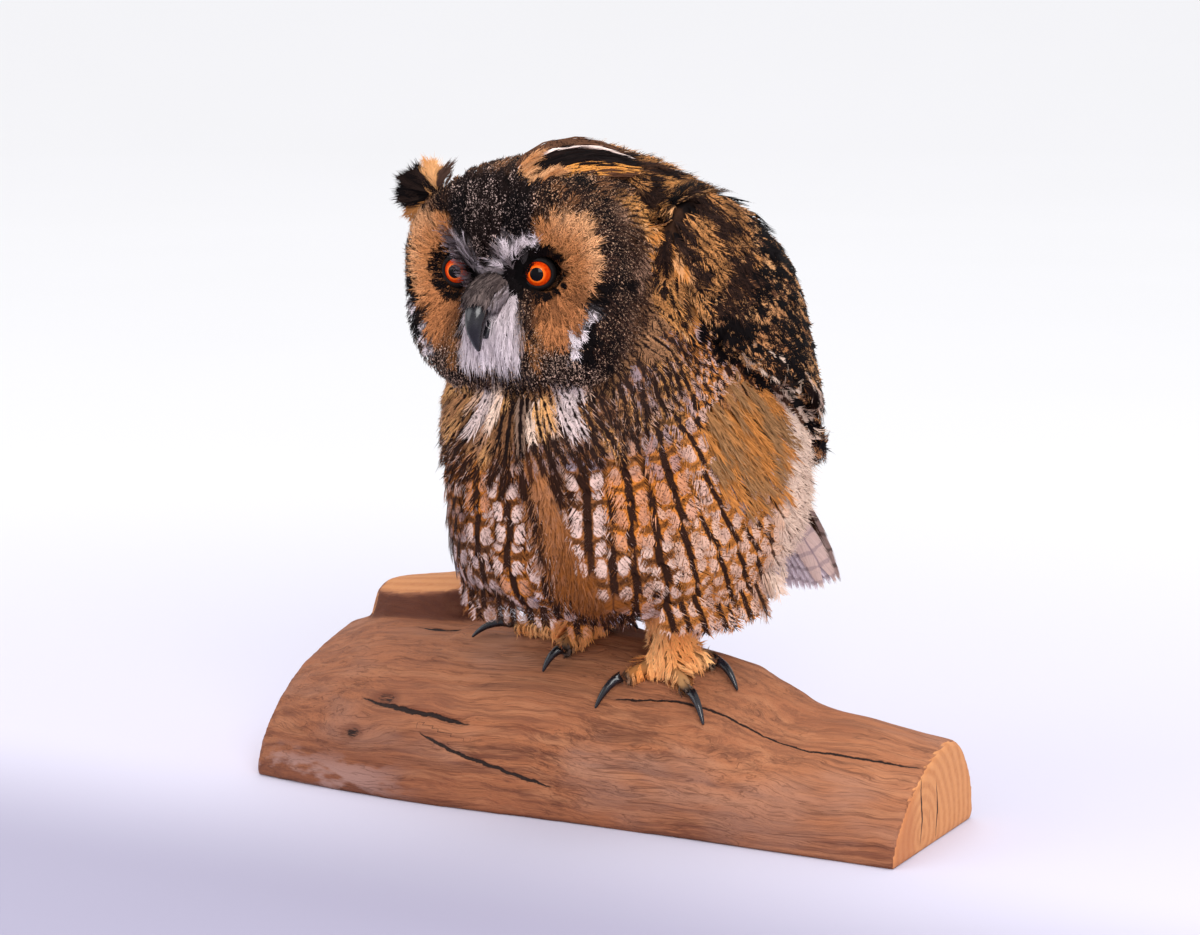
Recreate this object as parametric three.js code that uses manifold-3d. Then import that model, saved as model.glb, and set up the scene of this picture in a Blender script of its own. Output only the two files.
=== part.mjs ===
// A taxidermy long-eared owl, life size, standing across a split log with its head lowered.
// Millimetres, +Z up. The row frame has X along the log and its origin in the middle of the
// log's flat underside. Inside the owl's own group x is forward, y is to its left and z is up.
import * as THREE from "three";
import { mergeVertices } from "three/addons/utils/BufferGeometryUtils.js";
import Module from "manifold-3d";

const wasm = await Module();
wasm.setup();

// ---------- driving dimensions ----------
const GAP = 0.3; // clearance left where two pieces meet
const rad = THREE.MathUtils.degToRad;

const OWL_AT = [15, -5]; // the point between the feet, in the row frame
const OWL_TURN = 13; // degrees that the owl faces away from -Y, towards -X
const LEAN = -6; // how far the body's middle is to the left of the point between the feet

const HEAD_AT = [45.7, LEAN, 239.6]; // middle of the head, level with the eyes
const HEAD_TURN = 9; // degrees to its left of the body
const HEAD_PITCH = 3; // degrees down
const HEAD_ROLL = 1; // degrees, right side low
const EYE_RADIUS = 7; // a 14 mm glass eye
const EYE_AT = { f: 28, l: 19.5, u: 2 };

const COLOURS = {
  wood: [0x9c5f38, 0.75],
  breast: [0xb98a5a, 0.9],
  mantle: [0x4a3426, 0.9],
  face: [0xc08246, 0.9],
  tuft: [0x1d1714, 0.85],
  eye: [0xe04a08, 0.08],
  horn: [0x1c1e24, 0.35],
  tail: [0xb0a398, 0.85],
  leg: [0xc58a45, 0.9],
};

// ---------- geometry helpers ----------

// The value of a smooth curve through the rows [at, a, b, ...] of a table, at a place along it.
function alongTable(rows, at) {
  const last = rows.length - 1;
  const held = Math.min(Math.max(at, rows[0][0]), rows[last][0]);
  let i = 0;
  while (i < last - 1 && rows[i + 1][0] < held) i += 1;
  const span = rows[i + 1][0] - rows[i][0];
  const t = (held - rows[i][0]) / span;
  const slope = (k, col) => {
    const [a, b] = [Math.max(k - 1, 0), Math.min(k + 1, last)];
    return (rows[b][col] - rows[a][col]) / (rows[b][0] - rows[a][0]);
  };
  return rows[i].slice(1).map((value, n) => {
    const next = rows[i + 1][n + 1];
    const [m0, m1] = [slope(i, n + 1) * span, slope(i + 1, n + 1) * span];
    const [t2, t3] = [t * t, t * t * t];
    return (
      (2 * t3 - 3 * t2 + 1) * value + (t3 - 2 * t2 + t) * m0 +
      (3 * t2 - 2 * t3) * next + (t3 - t2) * m1
    );
  });
}

// A closed body through rings of points, each end closed by a point in its middle.
function loft(rings) {
  const n = rings[0].length;
  const points = rings.flat();
  const middle = (ring) =>
    ring.reduce((sum, p) => sum.add(p), new THREE.Vector3()).divideScalar(n);
  points.push(middle(rings[0]), middle(rings[rings.length - 1]));
  const [start, end] = [points.length - 2, points.length - 1];
  const faces = [];
  for (let i = 0; i < n; i += 1) {
    const j = (i + 1) % n;
    const top = (rings.length - 1) * n;
    faces.push(start, j, i, end, top + i, top + j);
    for (let r = 0; r < rings.length - 1; r += 1) {
      const [a, b, c, d] = [r * n + i, r * n + j, r * n + n + j, r * n + n + i];
      faces.push(a, b, c, a, c, d);
    }
  }
  const geometry = new THREE.BufferGeometry().setFromPoints(points);
  geometry.setIndex(faces);
  return geometry;
}

// A geometry as a solid for joining and cutting, turned outwards if its faces point in.
function solid(geometry) {
  const bare = geometry.clone();
  bare.deleteAttribute("normal");
  bare.deleteAttribute("uv");
  const merged = mergeVertices(bare, 1e-3);
  const vertProperties = new Float32Array(merged.attributes.position.array);
  const make = (order) =>
    new wasm.Manifold(new wasm.Mesh({ numProp: 3, vertProperties, triVerts: new Uint32Array(order) }));
  const index = Array.from(merged.index.array);
  const made = make(index);
  if (made.volume() > 0) return made;
  for (let i = 0; i < index.length; i += 3) [index[i], index[i + 1]] = [index[i + 1], index[i]];
  return make(index);
}

// The largest body of a solid, as a named mesh.
function meshOf(name, made, [colour, roughness]) {
  const bodies = made.decompose().sort((a, b) => b.volume() - a.volume());
  const { vertProperties, triVerts, numProp, numVert } = bodies[0].getMesh();
  const positions = new Float32Array(numVert * 3);
  for (let i = 0; i < numVert; i += 1) {
    positions.set(vertProperties.subarray(i * numProp, i * numProp + 3), i * 3);
  }
  const geometry = new THREE.BufferGeometry();
  geometry.setAttribute("position", new THREE.BufferAttribute(positions, 3));
  geometry.setIndex(new THREE.BufferAttribute(new Uint32Array(triVerts), 1));
  geometry.computeVertexNormals();
  const material = new THREE.MeshStandardMaterial({ color: colour, roughness, metalness: 0 });
  const mesh = new THREE.Mesh(geometry, material);
  mesh.name = name;
  return mesh;
}

const signedPower = (value, power) => Math.sign(value) * Math.abs(value) ** power;

// An oval tube along a smooth path. rows are [share of the path, half width, half height];
// side is the direction that the half width lies along.
function taperedTube(pathPoints, rows, side, { steps = 12, sides = 12, grow = 0, power = 1 } = {}) {
  const curve = new THREE.CatmullRomCurve3(pathPoints);
  const rings = [];
  for (let s = 0; s <= steps; s += 1) {
    const share = s / steps;
    const along = curve.getTangentAt(share);
    const across = side.clone().addScaledVector(along, -side.dot(along)).normalize();
    const over = new THREE.Vector3().crossVectors(along, across);
    const [wide, high] = alongTable(rows, share).map((value) => value + grow);
    const centre = curve.getPointAt(share);
    rings.push(
      Array.from({ length: sides }, (_, i) => {
        const turn = (2 * Math.PI * i) / sides;
        return centre
          .clone()
          .addScaledVector(across, wide * signedPower(Math.cos(turn), power))
          .addScaledVector(over, high * signedPower(Math.sin(turn), power));
      }),
    );
  }
  return loft(rings);
}

const vec = (x, y, z) => new THREE.Vector3(x, y, z);

// An ellipsoid with its middle at a point.
function ellipsoid(at, radii, segments = 20) {
  const ball = new THREE.SphereGeometry(1, segments, Math.round(segments * 0.7));
  ball.scale(...radii);
  ball.translate(...at);
  return solid(ball);
}

// A slab as deep as the owl, with an outline in its side view (x forward, z up), from y0 to y1.
// grow moves the outline outwards; the corners are listed with the inside on their left.
function sideSlab(outline, y0, y1, grow = 0) {
  const curve = new THREE.SplineCurve(outline.map(([x, z]) => new THREE.Vector2(x, z)));
  const points = curve.getPoints(outline.length * 2);
  const moved = points.map((p, i) => {
    const before = points[Math.max(i - 1, 0)];
    const after = points[Math.min(i + 1, points.length - 1)];
    const outwards = new THREE.Vector2(after.y - before.y, before.x - after.x).normalize();
    return p.clone().addScaledVector(outwards, grow);
  });
  const shape = new THREE.Shape(moved);
  const slab = new THREE.ExtrudeGeometry(shape, { depth: y1 - y0, bevelEnabled: false });
  slab.rotateX(Math.PI / 2);
  slab.translate(0, y1, 0);
  return solid(slab);
}

// Everything above a slanted plane that holds the owl's left-right direction.
function aboveLine([x0, z0], [x1, z1], lift = 0) {
  const reach = 600;
  const box = new THREE.BoxGeometry(reach, reach, reach);
  box.translate(0, 0, reach / 2 + lift);
  box.rotateY(-Math.atan2(z1 - z0, x1 - x0));
  box.translate((x0 + x1) / 2, 0, (z0 + z1) / 2);
  return solid(box);
}

// ---------- the split log ----------
const LOG = { left: -157, right: 157, foot: 2.5 };
// x: crest height, crest y, far edge y, near edge y, how full the long near slope is
const LOG_ROWS = [
  [-157, 56, 38, 72, -42.5, 1.65],
  [-125, 65.5, 33, 72, -46.5, 1.8],
  [-90, 67.5, 30, 70, -49, 1.9],
  [-50, 70.5, 28, 66, -49, 1.85],
  [-5, 73.5, 24, 62, -46, 1.8],
  [20, 70.5, 22, 58, -45, 1.7],
  [45, 68, 22, 56, -44, 1.6],
  [65, 62.5, 22, 54, -43.5, 1.6],
  [95, 47.5, 21, 51, -43.5, 1.5],
  [120, 45.5, 20, 49, -43, 1.45],
  [157, 42.5, 18, 48, -42.5, 1.35],
];
const LOG_NEAR_ROUND = 1.75;
const LOG_FAR = { fullness: 1.7, round: 2 };
const LOG_DIVISIONS = 9;

// Height of the log's surface at a place.
function logTop(x, y) {
  const [height, crest, far, nearEdge, nearFullness] = alongTable(LOG_ROWS, x);
  const near = y < crest;
  const fullness = near ? nearFullness : LOG_FAR.fullness;
  const round = near ? LOG_NEAR_ROUND : LOG_FAR.round;
  const edge = near ? nearEdge : far;
  const share = Math.min(Math.abs((y - crest) / (edge - crest)), 1);
  const wave = 1.6 * Math.sin(x / 17 + y / 11) * (1 - share);
  return height * (1 - share ** fullness) ** (1 / round) + wave;
}

function logRing(x, grow) {
  const [, crest, far, nearEdge] = alongTable(LOG_ROWS, x);
  const ring = [];
  const step = (edge, t) => crest + (edge - crest) * Math.sin((t * Math.PI) / 2);
  for (let i = -LOG_DIVISIONS; i <= LOG_DIVISIONS; i += 1) {
    const edge = i < 0 ? nearEdge : far;
    const y = step(edge, Math.abs(i) / LOG_DIVISIONS);
    const outwards = (i / LOG_DIVISIONS) * grow;
    ring.push(vec(x, y + outwards, Math.max(logTop(x, y), LOG.foot) + grow));
  }
  ring.push(vec(x, far - 1.5 + grow, 0), vec(x, nearEdge + 1.5 - grow, 0));
  return ring;
}

// A sawn branch stub on the far side of the log's thick end.
const STUB = { x0: -143, x1: -84, y0: 26, y1: 63, top: 77.5, rise: 8, foot: 30 };

function stubSolid() {
  const { x0, x1, y0, y1, top, rise, foot } = STUB;
  const [cx, cy] = [(x0 + x1) / 2, (y0 + y1) / 2];
  const ring = (z0, slope, swell) =>
    Array.from({ length: 16 }, (_, i) => {
      const turn = (2 * Math.PI * i) / 16;
      const x = cx + ((x1 - x0) / 2 + swell) * signedPower(Math.cos(turn), 0.7);
      const y = cy + ((y1 - y0) / 2 + swell) * signedPower(Math.sin(turn), 0.7);
      return vec(x, y, z0 + (slope * (x - x0)) / (x1 - x0));
    });
  return solid(loft([ring(foot, 0, 3), ring(top - 12, rise, 1), ring(top, rise, -1.5)]));
}

function logSolid(grow = 0) {
  const stations = 24;
  const rings = [];
  for (let i = 0; i <= stations; i += 1) {
    const x = LOG.left + ((LOG.right - LOG.left) * i) / stations;
    rings.push(logRing(x, grow));
  }
  return solid(loft(rings)).add(stubSolid());
}

// ---------- the owl's trunk ----------
// z: how far it reaches forward, back and to each side
const TRUNK_ROWS = [
  [91, 46, -54, 38],
  [98, 67, -76, 55],
  [110, 78, -93, 63],
  [128, 81, -104, 67],
  [152, 82, -103, 67],
  [178, 82, -98, 66],
  [203, 78, -90, 64],
  [228, 72, -81, 60],
  [252, 63, -65, 51],
  [270, 54, -44, 40],
  [282, 46, -17, 28],
  [290, 34, 12, 12],
];
const TRUNK_POWER = 0.92;
// The belly feathers hang lower in a lobe over each thigh.
const THIGH_LOBES = [
  { at: [34, -37, 107], radii: [30, 19, 20] },
  { at: [-14, 33, 103], radii: [34, 20, 20] },
];

function trunkShape(grow = 0) {
  const [levels, sides] = [15, 24];
  const [low, high] = [TRUNK_ROWS[0][0], TRUNK_ROWS[TRUNK_ROWS.length - 1][0]];
  const rings = [];
  for (let i = 0; i <= levels; i += 1) {
    const z = low + (high - low) * (0.5 - 0.5 * Math.cos((Math.PI * i) / levels));
    const [front, back, half] = alongTable(TRUNK_ROWS, z);
    const centre = (front + back) / 2 + 8;
    const lift = grow * Math.cos((Math.PI * i) / levels) * -1;
    rings.push(
      Array.from({ length: sides }, (_, k) => {
        const turn = (2 * Math.PI * k) / sides;
        const reach = (Math.cos(turn) > 0 ? front - centre : centre - back) + grow;
        const x = centre + reach * signedPower(Math.cos(turn), TRUNK_POWER);
        const y = LEAN + (half + grow) * signedPower(Math.sin(turn), TRUNK_POWER);
        return vec(x, y, z + lift);
      }),
    );
  }
  return solid(loft(rings));
}

// The ruff of long feathers under and behind the head.
function neckShape(grow = 0) {
  return ellipsoid([40, LEAN, 214], [50 + grow, 58 + grow, 50 + grow], 18).add(
    ellipsoid([26, LEAN, 248], [46 + grow, 51 + grow, 43 + grow], 18),
  );
}

// ---------- the head ----------
// f: half width, reach above the eyes and reach below them, from back to front
const HEAD_ROWS = [
  [-36, 26, 29, 24],
  [-30, 36, 39, 36],
  [-18, 46, 46, 45],
  [0, 51.5, 48, 50],
  [16, 53.5, 47, 51.5],
  [27, 52.5, 45, 50],
  [35, 47, 40, 45],
  [41, 35, 30, 35],
  [44, 16, 14, 18],
];
const HEAD_SQUARENESS = { above: 0.88, below: 0.64 };
const DISC = { depth: 12, inner: 13, outer: 20, tall: 21, l: 24, u: 0 }; // the hollow round each eye
const BRIDGE = { height: 5, wide: 9, tall: 26, u: 6 }; // the ridge between the eyes

function headFrame() {
  return new THREE.Matrix4().compose(
    vec(...HEAD_AT),
    new THREE.Quaternion().setFromEuler(
      new THREE.Euler(rad(HEAD_ROLL), rad(HEAD_PITCH), rad(HEAD_TURN), "ZYX"),
    ),
    vec(1, 1, 1),
  );
}

// How far the face is pushed back or forward at a place across and up it.
function faceRelief(l, u) {
  const bowl = (side) => {
    const across = side * l - DISC.l;
    const wide = across > 0 ? DISC.outer : DISC.inner;
    return Math.exp(-(((across / wide) ** 2 + ((u - DISC.u) / DISC.tall) ** 2) ** 1.25));
  };
  const ridge = Math.exp(-((l / BRIDGE.wide) ** 2) - ((u - BRIDGE.u) / BRIDGE.tall) ** 2);
  return BRIDGE.height * ridge - DISC.depth * (bowl(1) + bowl(-1));
}

function headShape(grow = 0) {
  const [rounds, sides] = [15, 26];
  const [back, front] = [HEAD_ROWS[0][0], HEAD_ROWS[HEAD_ROWS.length - 1][0]];
  const rings = [];
  for (let i = 0; i <= rounds; i += 1) {
    const f = back + (front - back) * Math.sin((Math.PI * i) / rounds / 2);
    const [wide, above, below] = alongTable(HEAD_ROWS, f);
    const push = i === 0 ? -grow : i === rounds ? grow : 0;
    const facing = THREE.MathUtils.smoothstep(f, 22, 40);
    rings.push(
      Array.from({ length: sides }, (_, k) => {
        const turn = (2 * Math.PI * k) / sides;
        const upper = Math.sin(turn) > 0;
        const power = upper ? HEAD_SQUARENESS.above : HEAD_SQUARENESS.below;
        const l = (wide + grow) * signedPower(Math.cos(turn), power);
        const u = ((upper ? above : below) + grow) * signedPower(Math.sin(turn), power);
        return vec(f + push + facing * faceRelief(l, u), l, u);
      }),
    );
  }
  return solid(loft(rings)).transform(headFrame().elements);
}

// ---------- eyes and bill, in the head's own frame ----------
function eyeSolid(side, grow = 0) {
  return ellipsoid([EYE_AT.f, side * EYE_AT.l, EYE_AT.u], Array(3).fill(EYE_RADIUS + grow), 12);
}

const BILL_PATH = [vec(36, 0, -3), vec(47.5, 0, -8), vec(53, 0, -17), vec(51, 0, -27.5)];
const BILL_ROWS = [[0, 6.5, 6], [0.4, 5.6, 5.4], [0.7, 3.8, 4], [0.9, 1.8, 2], [1, 0.6, 0.6]];
const LOWER_PATH = [vec(37, 0, -13), vec(43, 0, -17), vec(46.5, 0, -23)];
const LOWER_ROWS = [[0, 4.8, 3.6], [0.5, 3.8, 2.6], [1, 1.2, 0.8]];

const billUpper = (grow = 0) =>
  solid(taperedTube(BILL_PATH, BILL_ROWS, vec(0, 1, 0), { steps: 8, sides: 10, grow }));
const billLower = (grow = 0) =>
  solid(taperedTube(LOWER_PATH, LOWER_ROWS, vec(0, 1, 0), { steps: 4, sides: 8, grow }));

// ---------- ear tufts, in the head's own frame ----------
// The left one is laid back along the crown and the right one stands out to the side.
const EARS = {
  left: {
    path: [vec(27, 12, 42), vec(15, 20, 47), vec(-6, 26, 46.5), vec(-28, 29, 42)],
    rows: [[0, 6, 4], [0.35, 7, 4.5], [0.75, 5.5, 3.6], [1, 1.5, 1]],
    side: vec(0, 1, -0.6),
  },
  right: {
    path: [vec(22, -22, 33), vec(25, -33, 36.5), vec(27, -43, 35), vec(27, -50.5, 28)],
    rows: [[0, 8, 5], [0.4, 9.5, 5.5], [0.8, 8, 4], [1, 2.5, 1.2]],
    side: vec(-0.3, 0.2, -1),
  },
};

const earSolid = ({ path, rows, side }, grow = 0) =>
  solid(taperedTube(path, rows, side, { steps: 7, sides: 8, grow }));

// ---------- wings and tail ----------
const WING_THICKNESS = 8;
// The folded wing's outline in side view: shoulder, back edge, tip, lower edge, front edge.
const WING_OUTLINE = [
  [34, 246], [28, 262], [8, 272], [-20, 270], [-54, 252], [-84, 224],
  [-106, 190], [-114, 164], [-88, 164], [-50, 180], [-10, 195], [22, 214],
];
// The long flight feathers that show below the wing's tip.
const PRIMARY_THICKNESS = 6;
const PRIMARY_OUTLINE = [
  [-62, 184], [-90, 192], [-116, 176], [-120, 154], [-114, 138], [-102, 142], [-82, 156],
];
const WING_INNER_Y = 9; // how near the two wings come to each other over the back

const wingSlab = (outline, side, grow) =>
  side > 0
    ? sideSlab(outline, LEAN + WING_INNER_Y, 120, grow)
    : sideSlab(outline, -120, LEAN - WING_INNER_Y, grow);

const wingSolid = (side, trunkGrown) =>
  trunkShape(WING_THICKNESS).subtract(trunkGrown).intersect(wingSlab(WING_OUTLINE, side, 0));

const primariesSolid = (side, trunkGrown) =>
  trunkShape(PRIMARY_THICKNESS)
    .subtract(trunkGrown)
    .intersect(wingSlab(PRIMARY_OUTLINE, side, 0))
    .subtract(wingSlab(WING_OUTLINE, side, GAP));

const TAIL = {
  path: [vec(-74, LEAN, 152), vec(-99, LEAN, 129), vec(-115, LEAN, 104), vec(-127, LEAN, 79)],
  rows: [[0, 14, 12], [0.35, 20, 9], [0.7, 25, 5], [0.93, 28, 2.6], [1, 26, 1.8]],
};

const tailSolid = () =>
  solid(
    taperedTube(TAIL.path, TAIL.rows, vec(0, 1, 0), { steps: 8, sides: 16, power: 0.8 }),
  );

// ---------- legs, toes and claws ----------
const OWL_FRAME = new THREE.Matrix4().compose(
  vec(...OWL_AT, 0),
  new THREE.Quaternion().setFromAxisAngle(vec(0, 0, 1), -rad(90 + OWL_TURN)),
  vec(1, 1, 1),
);

// Height of the log under a place given in the owl's frame.
function logUnder(x, y) {
  const p = vec(x, y, 0).applyMatrix4(OWL_FRAME);
  return logTop(p.x, p.y);
}

const LEG_ROWS = [[0, 17, 20], [0.35, 14.5, 16], [0.7, 10.5, 11.5], [1, 8, 8.5]];
const TOE_ROWS = [[0, 6, 5.4], [0.45, 4.8, 4.6], [0.85, 4.4, 4.2], [1, 3.4, 3.2]];
const CLAW_ROWS = [[0, 2.3, 2.5], [0.5, 1.7, 1.8], [0.85, 0.9, 0.9], [1, 0.4, 0.4]];
const ANKLE_HEIGHT = 9; // middle of the foot above the wood
const TOE_HEIGHT = 4.4; // middle of a toe above the wood

// Angles are measured from forwards towards the owl's left. length is the toe's without its
// claw; claw is the claw's own angle and how far it reaches from the toe's end.
const FEET = {
  left: {
    at: [-5, 19.5],
    hip: [2, 20, 112],
    toes: [
      { name: "inner", angle: -45, length: 20, claw: [-28, 12.5] },
      { name: "middle", angle: 70, length: 18, claw: [71, 11.5] },
      { name: "outer", angle: 129, length: 21, claw: [84, 12.5] },
      { name: "hind", angle: -150, length: 14, claw: [-150, 11] },
    ],
  },
  right: {
    at: [-2, -28],
    hip: [16, -28, 116],
    toes: [
      { name: "inner", angle: -4, length: 12, claw: [-30, 9] },
      { name: "middle", angle: -86, length: 40, claw: [-54, 18] },
      { name: "outer", angle: -140, length: 19, claw: [-120, 12] },
      { name: "hind", angle: 140, length: 14, claw: [140, 11] },
    ],
  },
};

function legSolid({ at: [x, y], hip }, grow = 0) {
  const ankle = logUnder(x, y) + ANKLE_HEIGHT;
  const path = [vec(...hip), vec(x - 3, y * 1.05, (hip[2] + ankle) / 2), vec(x, y, ankle - 5)];
  return solid(taperedTube(path, LEG_ROWS, vec(0, 1, 0), { steps: 6, sides: 12, grow }));
}

// A toe's middle line lies on the wood; its claw arches from the toe's end down to the wood.
function toePoint([x, y], angle, reach, height) {
  const [px, py] = [x + reach * Math.cos(rad(angle)), y + reach * Math.sin(rad(angle))];
  return vec(px, py, logUnder(px, py) + height);
}

function toeSolid(at, { angle, length }, grow = 0) {
  const path = [0.05, 0.4, 0.75, 1].map((share) =>
    toePoint(at, angle, length * share, TOE_HEIGHT + 1.6 * Math.sin(Math.PI * share)),
  );
  const side = vec(-Math.sin(rad(angle)), Math.cos(rad(angle)), 0);
  return solid(taperedTube(path, TOE_ROWS, side, { steps: 5, sides: 8, grow }));
}

function clawSolid(at, { angle, length, claw: [clawAngle, reach] }) {
  const rootAt = [at[0] + length * Math.cos(rad(angle)), at[1] + length * Math.sin(rad(angle))];
  const point = (out, height) => toePoint(rootAt, clawAngle, out, height);
  const path = [
    point(-3, TOE_HEIGHT + 0.6),
    point(reach * 0.3, TOE_HEIGHT + 2.2),
    point(reach * 0.75, TOE_HEIGHT),
    point(reach, 0.9),
  ];
  const side = vec(-Math.sin(rad(clawAngle)), Math.cos(rad(clawAngle)), 0);
  return solid(taperedTube(path, CLAW_ROWS, side, { steps: 6, sides: 6 }));
}

// ---------- assembly ----------
const part = new THREE.Group();
const owl = new THREE.Group();
OWL_FRAME.decompose(owl.position, owl.quaternion, owl.scale);
const head = new THREE.Group();
headFrame().decompose(head.position, head.quaternion, head.scale);
part.add(owl);
owl.add(head);

part.add(meshOf("log", logSolid(), COLOURS.wood));
const logInOwl = logSolid(GAP).transform(OWL_FRAME.clone().invert().elements);
const intoOwl = (made) => made.transform(headFrame().elements);

const headGrown = headShape(GAP);
const trunkGrown = trunkShape(GAP);
const wings = { left: wingSolid(1, trunkGrown), right: wingSolid(-1, trunkGrown) };
const wingSlot = trunkShape(WING_THICKNESS + GAP);

// The body is cut on a slant from under the ruff to the nape.
const NECK_CUT = [[86, 160], [-32, 272]];
let body = trunkShape().add(neckShape().subtract(wingSlot));
for (const { at, radii } of THIGH_LOBES) body = body.add(ellipsoid(at, radii, 12));
const neckSide = aboveLine(...NECK_CUT.slice().reverse(), GAP / 2);
const trunkSide = aboveLine(...NECK_CUT.slice().reverse(), -GAP / 2);
const earLeft = intoOwl(earSolid(EARS.left));
const earLeftGrown = intoOwl(earSolid(EARS.left, GAP));
const neck = body.intersect(neckSide).subtract(headGrown).subtract(earLeftGrown);

owl.add(meshOf("neck", neck, COLOURS.mantle));
let trunk = body.subtract(trunkSide).subtract(headGrown);

// Legs, and the toes and claws that lie on the log.
for (const [sideName, foot] of Object.entries(FEET)) {
  const leg = legSolid(foot).subtract(logInOwl);
  const legGrown = legSolid(foot, GAP);
  trunk = trunk.subtract(legGrown);
  owl.add(meshOf(`leg_${sideName}`, leg, COLOURS.leg));
  let taken = legGrown;
  for (const toe of foot.toes) {
    const toeBody = toeSolid(foot.at, toe).subtract(taken).subtract(logInOwl);
    const toeGrown = toeSolid(foot.at, toe, GAP);
    owl.add(meshOf(`toe_${sideName}_${toe.name}`, toeBody, COLOURS.leg));
    const claw = clawSolid(foot.at, toe).subtract(toeGrown).subtract(logInOwl);
    owl.add(meshOf(`claw_${sideName}_${toe.name}`, claw, COLOURS.horn));
    taken = taken.add(toeGrown);
  }
}
trunk = trunk.subtract(logInOwl);

const tail = tailSolid().subtract(trunkGrown).subtract(logInOwl);
owl.add(meshOf("trunk", trunk, COLOURS.breast));
owl.add(meshOf("tail", tail, COLOURS.tail));

for (const [sideName, side] of [["left", 1], ["right", -1]]) {
  const wing = wings[sideName].subtract(neckShape(GAP)).subtract(headGrown).subtract(earLeftGrown);
  owl.add(meshOf(`wing_${sideName}`, wing, COLOURS.mantle));
  const primaries = primariesSolid(side, trunkGrown);
  owl.add(meshOf(`primaries_${sideName}`, primaries, COLOURS.mantle));
}

// Head pieces: the head is cut round the eyes, bill and ear tufts in the owl's frame.
const earRightGrown = intoOwl(earSolid(EARS.right, GAP));
let headBody = headShape().subtract(earLeftGrown).subtract(earRightGrown);
for (const side of [1, -1]) headBody = headBody.subtract(intoOwl(eyeSolid(side, GAP)));
headBody = headBody.subtract(intoOwl(billUpper(GAP))).subtract(intoOwl(billLower(GAP)));
owl.add(meshOf("head", headBody, COLOURS.face));
owl.add(meshOf("ear_tuft_left", earLeft, COLOURS.tuft));
head.add(meshOf("ear_tuft_right", earSolid(EARS.right), COLOURS.tuft));
head.add(meshOf("eye_left", eyeSolid(1), COLOURS.eye));
head.add(meshOf("eye_right", eyeSolid(-1), COLOURS.eye));
head.add(meshOf("bill_upper", billUpper(), COLOURS.horn));
head.add(meshOf("bill_lower", billLower().subtract(billUpper(GAP)), COLOURS.horn));

export default part;
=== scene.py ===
"""A mounted long-eared owl on its split log: skin, feathers, eyes, horn and wood.

Most of the bird is worked out in millimetres in the owl's own frame: x forward, y to its left
and z up. f, l and z are a place's three numbers there. f, l and u are its three numbers in the
head's frame.
"""

import math
from typing import NamedTuple

import bmesh
import bpy
import numpy as np
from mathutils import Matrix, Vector
from mathutils.bvhtree import BVHTree


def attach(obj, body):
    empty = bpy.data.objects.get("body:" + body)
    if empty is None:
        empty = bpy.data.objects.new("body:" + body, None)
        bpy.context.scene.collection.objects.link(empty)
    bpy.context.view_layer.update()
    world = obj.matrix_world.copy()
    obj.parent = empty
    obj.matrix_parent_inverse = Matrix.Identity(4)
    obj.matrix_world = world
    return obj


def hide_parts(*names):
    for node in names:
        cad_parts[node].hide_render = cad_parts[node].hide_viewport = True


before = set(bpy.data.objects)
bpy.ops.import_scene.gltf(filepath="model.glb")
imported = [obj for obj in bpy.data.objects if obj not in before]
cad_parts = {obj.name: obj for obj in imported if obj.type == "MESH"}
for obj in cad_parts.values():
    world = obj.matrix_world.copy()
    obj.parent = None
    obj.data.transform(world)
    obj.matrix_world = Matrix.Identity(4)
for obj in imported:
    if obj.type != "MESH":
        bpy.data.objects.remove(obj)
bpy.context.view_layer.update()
rng = np.random.default_rng(20)

# ---------------------------------------------------------------- frames

MM = 0.001
OWL_AT = np.array([15.0, -5.0, 0.0])
OWL_TURN = -103
LEAN = -6.0  # the body's middle plane
HEAD_AT = np.array([45.7, LEAN, 239.6])
HEAD_TURN, HEAD_PITCH, HEAD_ROLL = 9, 3, 1
EYE_FORWARD, EYE_SIDE, EYE_UP, EYE_RADIUS = 28.0, 19.5, 2.0, 7.0
EYE_SHIFT = 3.3  # both eyes stand this much nearer the owl's right


def turned(degrees, axis):
    """A rotation matrix about one axis of the frame."""
    c, s = math.cos(math.radians(degrees)), math.sin(math.radians(degrees))
    a, b = [(1, 2), (2, 0), (0, 1)][axis]
    made = np.eye(3)
    made[a, a] = made[b, b] = c
    made[a, b], made[b, a] = -s, s
    return made


OWL = turned(OWL_TURN, 2)
HEAD = turned(HEAD_TURN, 2) @ turned(HEAD_PITCH, 1) @ turned(HEAD_ROLL, 0)


def owl_to_row(p):
    return (np.asarray(p) @ OWL.T + OWL_AT) * MM


def row_to_owl(p):
    return (np.asarray(p) / MM - OWL_AT) @ OWL


def owl_to_head(p):
    return (np.asarray(p) - HEAD_AT) @ HEAD


def head_to_owl(h):
    return np.asarray(h) @ HEAD.T + HEAD_AT


# ---------------------------------------------------------------- small maths


def unit(v):
    return v / np.maximum(np.linalg.norm(v, axis=-1, keepdims=True), 1e-9)


def columns(*parts):
    """Rows made from columns, each a number or an array."""
    return np.stack(np.broadcast_arrays(*parts), -1)


def onto_plane(v, normal):
    """v without its part along normal, as a direction."""
    return unit(v - (v * normal).sum(-1, keepdims=True) * normal)


def step(x, start, end):
    """0 before start, 1 after end, smooth between. start may be above end."""
    t = np.clip((x - start) / (end - start), 0, 1)
    return t * t * (3 - 2 * t)


def mixed(a, b, share):
    return a + (b - a) * np.asarray(share)[..., None]


def read_at(values, x):
    """values read at the counts x, mixed between neighbours."""
    low = np.minimum(x.astype(int), len(values) - 2)
    t = (x - low)[:, None]
    return values[low] * (1 - t) + values[low + 1] * t


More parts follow.
